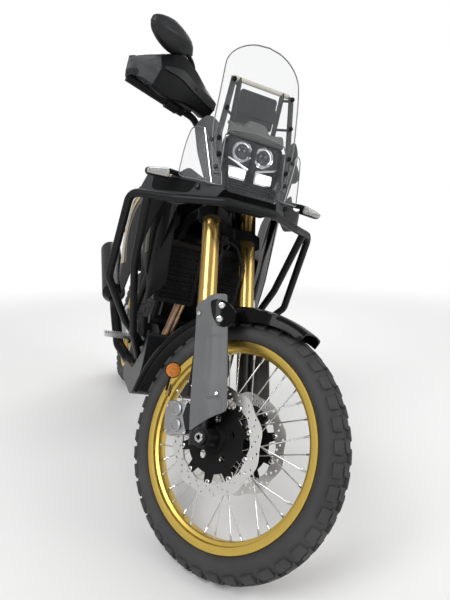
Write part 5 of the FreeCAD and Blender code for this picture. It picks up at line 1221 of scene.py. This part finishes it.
class OBJECT_OT_nose_panels(bpy.types.Operator):
    """Brow, cheeks, clear wings, faceted flanks and the shrouds with their stripes"""
    bl_idname = "object.motorcycle_nose_panels"
    bl_label = "Nose panels"

    def execute(self, context):
        self.brow()
        self.cheeks()
        self.shrouds()
        return {"FINISHED"}

    def brow(self):
        """Cover over the lamp: the same section across its width, lifted in the middle by the hump."""
        side = np.linspace(-88, 88, 67)
        lift = np.interp(np.abs(side), *zip(*BROW))
        # Section: ahead, height, share of the hump
        rows = [(1323, 1205, 0), (1327, 1208, 0), (1326, 1214, 0.2), (1319, 1226, 0.7), (1306, 1238, 1.0),
                (1290, 1245, 1.0), (1272, 1247, 0.9), (1272, 1240, 0.8), (1296, 1232, 0.8), (1316, 1205, 0)]
        points = np.array([[(x, y, z + HUMP * up * share) for x, z, share in rows] for y, up in zip(side, lift)])
        build("lamp_brow", "chassis", grid(points, around=True, ends=True), "matte grey", ["side_panels"],
              24)

    def cheeks(self):
        """Cheeks behind the screen's legs, clear wings with painted grey edge lines and a painted highlight line in
        chrome, flanks with a step.
        """
        cheek = outline([(-181, 1228, 16), (-163, 1250, 12), (-144, 1258, 16), (-112, 1222, 8), (-90, 1043, 6),
                         (-132, 1043, 8), (-164, 1141, 20)])
        wing = outline([(-188, 1223, 20), (-199, 1166, 30), (-205, 1066, 20), (-171, 1058, 20), (-120, 1044, 6),
                        (-92, 1042, 4), (-98, 1080, 8), (-158, 1212, 10)])
        flank = outline([(-275, 1064, 14), (-228, 1046, 10), (-203, 1063, 12), (-178, 1088, 12), (-117, 1046, 8),
                         (-83, 1040, 6), (-103, 1004, 10), (-134, 993, 14), (-187, 969, 14), (-267, 986, 12),
                         (-296, 990, 14)])
        step = outline([(-262, 1052, 8), (-205, 1050, 10), (-150, 1046, 10), (-168, 1012, 10), (-262, 1006, 14)])
        panels("nose_cheeks", cheek, screen_skin(-8), 4, "grey plastic")
        panels("clear_wings", wing, screen_skin(-1), 3, "screen", 38)
        # The wings' edge lines are painted: opaque grey along the clear sheet's rim, standing in for the light and
        # shade seen at its edge
        painted_edge_line = screen_skin(0.5)(*resampled(wing, 8).T, 0)
        # Painted highlight: a chrome line laid on the clear wing where a bright reflection runs down it
        shine = screen_skin(1.5)(np.array([-158.0, -140, -121]), np.array([1210.0, 1130, 1047]), 0)
        build("painted_wing_edges", "chassis", swept(painted_edge_line, circle(1.6, 6), closed=True, up=(1, 0.3, 0.2)).both(),
              "screen edge")
        build("painted_wing_highlights", "chassis", tube(shine, 2.0, 10, 8).both(), "chrome")
        panels("nose_flanks", flank, flank_skin, 5, "grey plastic")
        panels("flank_steps", step, step_skin, 5, "black plastic")
        screws = [bolt(flank_skin(np.array(-149.0), np.array(1034.0), 6), (1, -0.8, 0.1), 9, 5)]
        screws += [bolt(screen_skin(0)(np.array(side), np.array(height), 0), (1, -0.6, 0.2), 7, 4)
                   for side, height in ((-137.0, 1176.0), (-116.0, 1096.0))]
        build("nose_screws", "chassis", joined(screws).both(), "dark alloy")

    def shrouds(self):
        """Inner and outer shroud of the tank, chin under the lamp, ducts at the radiators, and the stripes."""
        inner = outline([(1300, 1030, 12), (1262, 1082, 16), (1170, 1082, 40), (1040, 1058, 30), (958, 1000, 20),
                         (938, 860, 40), (1008, 760, 30), (1090, 720, 20), (1160, 880, 40), (1218, 1000, 60)])
        outer = outline([(1150, 1010, 20), (1010, 1040, 40), (900, 990, 30), (880, 840, 40), (930, 700, 40),
                         (1000, 640, 20), (1050, 760, 40), (1100, 900, 60)])
        chin = outline([(-88, 1034), (-70, 1030), (70, 1030), (88, 1034), (98, 1004), (60, 984), (-60, 984),
                        (-98, 1004)], 6)
        duct = outline([(1196, 720, 10), (1176, 990, 20), (1190, 1010, 10), (1100, 1010, 20), (1050, 740, 20),
                        (1110, 640, 20)])
        panels("tank_shrouds", inner, shroud_skin, 4, "gloss black")
        panels("outer_shrouds", outer, wing_skin, 4, "gloss black")
        build("lamp_chin", "chassis", draped(chin, chin_skin, 4), "black plastic")
        panels("radiator_shrouds", duct, radiator_skin, 4, "black plastic")
        for name, line, skin, look in STRIPES:
            middle = smooth(line, 40)
            across = unit(np.gradient(middle, axis=0))[:, ::-1] * [1, -1] * STRIPE_HALF
            edge = np.concatenate([middle + across, (middle - across)[::-1]])
            panels("stripe_" + name, edge, lambda ahead, height, out: skin(ahead, height, out + 0.9), 0.6, look,
                   38)


# Calipers' place up the steering axis, and the middle of the right reflector
CALIPER_ALONG = 57
REFLECTOR_AT = np.array([1336.0, -110, 459])


class OBJECT_OT_front_end(bpy.types.Operator):
    """Fork guards, fender brackets, calipers, reflectors, axle ends and hub covers"""
    bl_idname = "object.motorcycle_front_end"
    bl_label = "Front end"

    def execute(self, context):
        self.guards()
        self.calipers()
        self.axle()
        return {"FINISHED"}

    def place(self, ahead, along, side):
        """Points by whole arrays of distances ahead of the steering axis, up it and to the left."""
        return (STEER_FOOT + np.multiply.outer(ahead, FORK_AHEAD) + np.multiply.outer(along, FORK_UP)
                + np.multiply.outer(side, [0, 1, 0]))

    def bow(self, ahead):
        """Distance of the guard's face from the machine's middle: flat beside the leg, folded in ahead of it."""
        return np.interp(ahead, [0, 70, 84, 100, 150], [134, 137, 136, 129, 98])

    def guard_skin(self, ahead, along, out):
        """Folded face, pressed in by two millimetres over a long panel and a triangle at the foot."""
        panel = eased(ahead, 64, 68) * eased(-ahead, -113, -109) * eased(along, 150, 156) * eased(-along, -272, -266)
        corner = eased(ahead + along * 0.9, 158, 166) * eased(-ahead, -116, -112) * eased(-along, -104, -98)
        return self.place(ahead, along, -(self.bow(ahead) + out - 2.2 * panel - 3 * corner))

    def bracket_skin(self, ahead, along, out):
        """Face of the fender's bracket, folded in towards the wheel."""
        return self.place(ahead, along, -(np.interp(ahead, [70, 100, 140], [140, 133, 104]) + out))

    def guards(self):
        """Pressed guards on two pads each, and the brackets that carry the fender, with their bolts."""
        edge = outline([(21, 371, 14), (60, 386, 10), (78, 392, 8), (114, 391, 6), (119, 284, 30), (123, 161, 30),
                        (124, 67, 10), (100, 56, 10), (23, 16, 8), (20, 97, 30), (22, 234, 30)])
        sheet = draped(edge, self.guard_skin, 4, 5.0)
        pads = joined([rod(fork(at, 33, -127.5), fork(at, 33, -132.5), 10) for at in (150, 250)])
        build("fork_guard_plates", "steering", (sheet + pads).both(), "guard grey", ["fork_guards"], 26)
        screws = [bolt(self.place(102, 110, -131), (0.2, -1, 0.1), 6, 3.5),
                  bolt(self.place(33, 340, -138), (0, -1, 0), 7, 4)]
        bracket = outline([(72, 370, 8), (90, 376, 8), (116, 368, 10), (136, 342, 10), (138, 312, 8), (114, 291, 8),
                           (94, 299, 8), (79, 329, 10)])
        build("fender_brackets", "steering", draped(bracket, self.bracket_skin, 9, 8.0).both(), "gloss black",
              crease=30)
        heads = [bolt(self.place(107, 353, -130), (0.5, -1, 0), 10.5, 7),
                 bolt(self.place(103, 314, -132), (0.5, -1, 0), 10.5, 7)]
        build("fender_bolts", "steering", joined(heads).both(), "bright steel")
        build("guard_screws_low", "steering", joined(screws).both(), "bright steel")

    def calipers(self):
        """Two-piece castings with a waist between their pistons, caps, the pads' pin, bolts, and the reflectors."""
        middle = fork(CALIPER_ALONG, -60)
        edge = outline([(-40, -47, 10), (-14, -50, 8), (0, -42, 10), (14, -50, 8), (40, -44, 12), (40, 44, 12),
                        (14, 50, 8), (0, 42, 10), (-14, 50, 8), (-40, 47, 10), (-46, 16, 8), (-46, -16, 8)])
        halves = plate(edge, 73, 94, 4, FORK_SIDE, middle) + plate(edge, 46, 63, 4, FORK_SIDE, middle)
        bridge = plate(rectangle(-46, -34, -34, 34, 4), 60, 76, 1.5, FORK_SIDE, middle)
        caps, bolts = [], []
        for along in (-22, 22):
            caps.append(turned([(0.1, 0), (17.5, 0), (18.5, -3), (17.5, -7), (13, -8.5), (11.5, -6.5), (0.1, -6.5)], 32,
                               origin=fork(CALIPER_ALONG + along, -58) + [0, -92.5, 0]))
            bolts.append(bolt(fork(CALIPER_ALONG + along * 1.8, -25, -94), (0, -1, 0), 6.5, 5))
            bolts.append(bolt(fork(CALIPER_ALONG + along * 1.6, -94, -94), (0, -1, 0), 5, 4))
        bolts.append(rod(fork(CALIPER_ALONG - 44, -40, -88), fork(CALIPER_ALONG + 44, -40, -88), 3.4))
        build("caliper_castings", "steering", (halves + bridge + joined(caps)).both(), "caliper",
              ["front_calipers"], 30)
        build("caliper_bolts", "steering", joined(bolts).both(), "bright steel")
        gold = plate(outline([(-52, 66), (-34, 98), (-26, 96), (-40, 60)], 3), 84, 96, 2, FORK_SIDE, middle)
        build("caliper_brackets", "steering", gold.both(), "gold tube")
        dish = [(0.05, 5.5), (12, 6.2), (19, 5), (21, 2.5), (21, -2), (0.05, -2)]
        facing = unit(np.array([0.8, -0.6, 0.1]))
        across = unit(np.cross([0, 0, 1], facing))
        axes = np.stack([across, facing, np.cross(across, facing)])
        build("reflectors", "steering", turned(dish, 36, axes, REFLECTOR_AT).both(), "amber lens")
        cup = turned([(0.05, 1), (23, 1), (23.5, -3), (20, -6), (0.05, -6)], 36, axes, REFLECTOR_AT)
        stalk = tube([REFLECTOR_AT - facing * 5, REFLECTOR_AT - facing * 9 - [0, 0, 12], REFLECTOR_AT + [4, 4, -62]],
                     3.6, 8, 12)
        build("reflector_stalks", "steering", (cup + stalk).both(), "black plastic")

    def axle(self):
        """Hexagon ring and washer on the axle's ends, and the ribbed cover over the hub's bearing."""
        end = turned([(7.2, -141), (13, -141), (15, -139), (15, -132), (20, -131), (21, -128), (7.2, -128)], 6,
                     origin=FRONT_AXLE)
        ring = turned([(7.2, -143.5), (10.5, -143.5), (11.5, -142), (11.5, -136), (7.2, -136)], 32, origin=FRONT_AXLE)
        build("axle_ends", "steering", end + ring, "bright steel", crease=30)
        cone = turned([(12, -60), (20, -82), (34, -82), (36, -79), (38, -70), (44, -62), (46, -50), (20, -50)], 48,
                      origin=FRONT_AXLE)
        build("hub_covers", "front_wheel", cone.both(), "black casting", crease=30)


# Seat

def swollen(piece, cap, voxel=0.005, pressure=4.0, frames=20):
    """Pad filled by simulation: an even mesh blown up by Cloth over some frames, no point moved past the cap."""
    even = piece.modifiers.new("even", "REMESH")
    even.mode, even.voxel_size = "VOXEL", voxel
    plain = bpy.data.meshes.new_from_object(piece.evaluated_get(bpy.context.evaluated_depsgraph_get()))
    piece.modifiers.clear()
    look = piece.data.materials[0]
    piece.data = plain
    plain.materials.clear()
    plain.materials.append(look)
    start = np.empty(len(plain.vertices) * 3)
    plain.vertices.foreach_get("co", start)
    air = piece.modifiers.new("air", "CLOTH")
    air.settings.use_pressure, air.settings.uniform_pressure_force = True, pressure
    air.settings.effector_weights.gravity = 0
    for step in range(frames):
        bpy.context.scene.frame_set(step + 1)
    blown = piece.evaluated_get(bpy.context.evaluated_depsgraph_get()).to_mesh()
    moved = np.empty_like(start)
    blown.vertices.foreach_get("co", moved)
    piece.modifiers.clear()
    bpy.context.scene.frame_set(1)
    move = (moved - start).reshape(-1, 3)
    far = np.linalg.norm(move, axis=1, keepdims=True)
    move *= np.minimum(1, cap / np.maximum(far, 1e-9))
    plain.vertices.foreach_set("co", start + move.ravel())
    plain.update()
    plain.shade_smooth()
    round_off = piece.modifiers.new("smooth", "SUBSURF")
    round_off.levels = round_off.render_levels = 1


# Seat's sections: ahead, half width, underside, top
SEAT = [(708, 62, 818, 868), (690, 84, 812, 872), (640, 104, 811, 862), (560, 128, 812, 852), (480, 152, 814, 850),
        (430, 156, 816, 853), (392, 142, 834, 868), (350, 122, 852, 892), (280, 116, 864, 903), (180, 112, 874, 912),
        (90, 104, 884, 920), (58, 84, 888, 916)]


# Half of a section of the seat, round from its base: share of the half width, share of the height
SEAT_LOOP = np.array([(-0.80, 0), (-0.96, 0.06), (-1, 0.3), (-0.97, 0.62), (-0.86, 0.84), (-0.66, 0.94),
                      (-0.36, 0.985), (0, 1)])


def seat_section(shares):
    """Sections along the seat at shares of its length: a flat base, sides that lean in and a crowned top."""
    x, half, low, top = smooth(SEAT, 400)[(np.asarray(shares) * 399).astype(int)].T[:, :, None]
    side, rise = np.vstack([SEAT_LOOP, SEAT_LOOP[-2::-1] * [-1, 1], [(0.4, 0), (0, 0), (-0.4, 0)]]).T
    return np.stack(np.broadcast_arrays(x, half * side, low + (top - low) * rise), -1)


class OBJECT_OT_seat(bpy.types.Operator):
    """Two-level seat, filled by simulation, with welted seams"""
    bl_idname = "object.motorcycle_seat"
    bl_label = "Seat"

    def execute(self, context):
        body = grid(seat_section(np.linspace(0, 1, 70)), around=True, ends=True)
        piece = build("seat_pad", "chassis", body, "seat vinyl", ["seat"], 60)
        swollen(piece, 0.007)
        self.seams(piece)
        return {"FINISHED"}

    def seams(self, piece):
        """Welts along both shoulders and across at the step, laid on the filled pad."""
        turn, shift = LEANED
        lines = [(seat_section(np.linspace(0.03, 0.97, 120))[:, corner], (0, 0, 1)) for corner in (4, 10)]
        lines += [(seat_section(np.full(2, share))[0, 4:11], (1, 0, 0)) for share in (0.40, 0.60)]
        welts = []
        shown = piece.evaluated_get(bpy.context.evaluated_depsgraph_get())
        for line, up in lines:
            near = [shown.closest_point_on_mesh(Vector(p)) for p in (smooth(line, 120) @ turn + shift)]
            laid = np.array([tuple(at + out * 0.0004) for _, at, out, _ in near])
            welts.append(swept((laid - shift) @ np.linalg.inv(turn), circle(1.7, 8), up=up))
        build("seat_welts", "chassis", joined(welts), "grip rubber")


# Tank's sections: ahead, half width, underside beside the beams and over them, top
TANK = [(722, 96, 802, 794, 872), (740, 114, 812, 805, 918), (775, 142, 828, 824, 966), (810, 162, 826, 844, 1005),
        (860, 176, 822, 874, 1055), (910, 181, 818, 902, 1092), (950, 181, 814, 926, 1100), (985, 178, 814, 958, 1097),
        (1010, 168, 832, 986, 1084), (1025, 146, 884, 1000, 1052), (1031, 110, 940, 1006, 1022)]


# Feet of the left indicator's stalk and of the filler cap, middle of the brace between the radiators
INDICATOR_FOOT = NOSE + [-24, 157.5, -68]
CAP_FOOT = (925, 0, 1099)
RADIATOR_BRACE = np.array([1052.4, 0, 861.7])


class OBJECT_OT_rest_of_machine(bpy.types.Operator):
    """Tank, front fender, front indicators, filler cap and the radiators' meshes"""
    bl_idname = "object.motorcycle_rest"
    bl_label = "Other details"

    def execute(self, context):
        self.tank()
        self.fender()
        self.indicators()
        self.body()
        return {"FINISHED"}

    def tank(self):
        """Tank in rounded sections from the seat to the steering head, a tunnel for the beams beneath."""
        x, half, low, tunnel, top = smooth(TANK, 48).T[:, :, None]
        over = np.array([(-0.80, 0), (-0.93, 0), (-1, 0.08), (-1, 0.3), (-0.985, 0.5), (-0.93, 0.68), (-0.82, 0.82),
                         (-0.64, 0.92), (-0.42, 0.975), (-0.2, 0.995), (0, 1)])
        over = np.vstack([over, over[-2::-1] * [-1, 1]]).T
        under = np.array([0.78, 0.4, 0, -0.4, -0.78])
        side = half * np.concatenate([over[0], under])
        height = np.hstack([low + (top - low) * over[1], np.broadcast_to(tunnel, (48, 5))])
        shell = grid(np.stack(np.broadcast_arrays(x, side, height), -1), around=True, ends=True)
        build("tank_shell", "chassis", shell, "gloss black", ["fuel_tank"], 50, 1)

    def fender(self):
        """Arched fender: crowned over the tyre, skirts dropped beside the legs, narrowing towards its tip."""
        angle = np.radians(np.linspace(72.5, 183, 90))[:, None]
        skirt = 18 * np.exp(-((np.degrees(angle) - 104) / 17) ** 2)
        wide = 0.70 + 0.30 * eased(np.degrees(angle), 72.5, 92)
        half = np.array([(-26, 70), (-14, 69.5), (-4, 66.5), (2, 58), (4, 42), (6.5, 20), (7, 0)])
        lower = np.array([(3, 0), (2.5, 20), (0, 40), (-6, 61), (-26, 66)])
        loop = np.vstack([half, half[-2::-1] * [1, -1], lower[:0:-1] * [1, -1], lower])
        hang = np.interp(-loop[:, 0], [4, 26], [0, 1])
        reach = 374 + loop[:, 0] - hang * skirt
        shell = np.stack(np.broadcast_arrays(reach * np.cos(angle), loop[:, 1] * wide, reach * np.sin(angle)), -1)
        arm = plate(outline([(14, 268, 10), (54, 268, 10), (60, 352, 4), (8, 352, 4)]), 66, 74, 1.5, FORK_SIDE,
                    STEER_FOOT)
        boss = rod(fork(300, 33, 70.7), fork(300, 33, 82.7), 12)
        build("fender_shell", "steering", grid(shell + FRONT_AXLE, around=True, ends=True) + (arm + boss).both(),
              "gloss black", ["front_fender"], 40)

    def indicators(self):
        """Stalks with a boot at their foot, wedge-shaped cases and the lenses set into them."""
        out = unit(np.array([66, 180, 0.0]))
        stalk = rod(INDICATOR_FOOT + out * 0.3, INDICATOR_FOOT + out * 80, 8)
        boot = turned([(0.1, 0), (11, 0), (11, 5), (8, 9), (0.1, 9)], 24,
                      np.stack([np.cross(out, [0, 0, 1.0]), out, [0, 0, 1.0]]), INDICATOR_FOOT)
        edge = outline([(228, -90, 10), (300, -94, 10), (304, -74, 10), (232, -58, 12)])
        case = plate(edge, -16, 9, 4, FRONT_VIEW, NOSE)
        lens = plate(inset(anticlockwise(edge), 2.5), 4, 17, 5, FRONT_VIEW, NOSE)
        build("indicator_cases", "chassis", (stalk + boot + case).both(), "black plastic", ["front_indicators"],
              30)
        build("indicator_lenses", "chassis", lens.both(), "silver lens", crease=40)

    def body(self):
        """Filler cap on the tank and woven guards ahead of the radiators."""
        cap = turned([(0.1, 8), (20, 8), (27, 6), (33, 3), (37, 2), (38, -3), (0.1, -3)], 48, SIDE_VIEW, CAP_FOOT)
        build("filler_cap", "chassis", cap, "dark alloy", crease=30)
        low, high, bottom, top, wire = 46, 164, -198, -16, 1.3
        across, up = np.linspace(low, high, 13), np.linspace(bottom, top, 19)
        wires = []
        for side in SIDES:
            upright = rod((0, 0, bottom - 2), (0, 0, top + 2), wire, 6)
            places = np.stack([np.full(13, 74.5), across * side, np.zeros(13)], -1)
            wires.append(upright.copies(places + RADIATOR_BRACE))
            level = rod((0, side * (low - 4), 0), (0, side * (high + 4), 0), wire, 6)
            places = np.stack([np.full(19, 75.5), np.zeros(19), up], -1)
            wires.append(level.copies(places + RADIATOR_BRACE))
        build("radiator_meshes", "chassis", joined(wires), "powder coat", crease=60)


PIECES = [OBJECT_OT_stage, OBJECT_OT_node_finishes, OBJECT_OT_wheels, OBJECT_OT_headlamp, OBJECT_OT_screen,
          OBJECT_OT_controls, OBJECT_OT_nose_panels, OBJECT_OT_front_end, OBJECT_OT_seat, OBJECT_OT_rest_of_machine]


class VIEW3D_PT_motorcycle(bpy.types.Panel):
    """Sidebar panel with a button for each step"""
    bl_label = "Adventure motorcycle"
    bl_space_type = "VIEW_3D"
    bl_region_type = "UI"
    bl_category = "Motorcycle"

    def draw(self, context):
        for operator in PIECES:
            self.layout.operator(operator.bl_idname)


CLASSES = [MachineSizes, StageSizes, *PIECES, VIEW3D_PT_motorcycle]


def register():
    """Adds the classes and the scene's two groups of sizes."""
    for item in CLASSES:
        bpy.utils.register_class(item)
    bpy.types.Scene.machine_sizes = bpy.props.PointerProperty(type=MachineSizes)
    bpy.types.Scene.stage_sizes = bpy.props.PointerProperty(type=StageSizes)


def unregister():
    """Takes them away again."""
    del bpy.types.Scene.machine_sizes
    del bpy.types.Scene.stage_sizes
    for item in reversed(CLASSES):
        bpy.utils.unregister_class(item)


def main():
    """Makes every piece in order."""
    register()
    bpy.context.scene.view_settings.view_transform = "Standard"
    for operator in PIECES:
        group, name = operator.bl_idname.split(".")
        getattr(getattr(bpy.ops, group), name)()


if __name__ == "__main__":
    main()
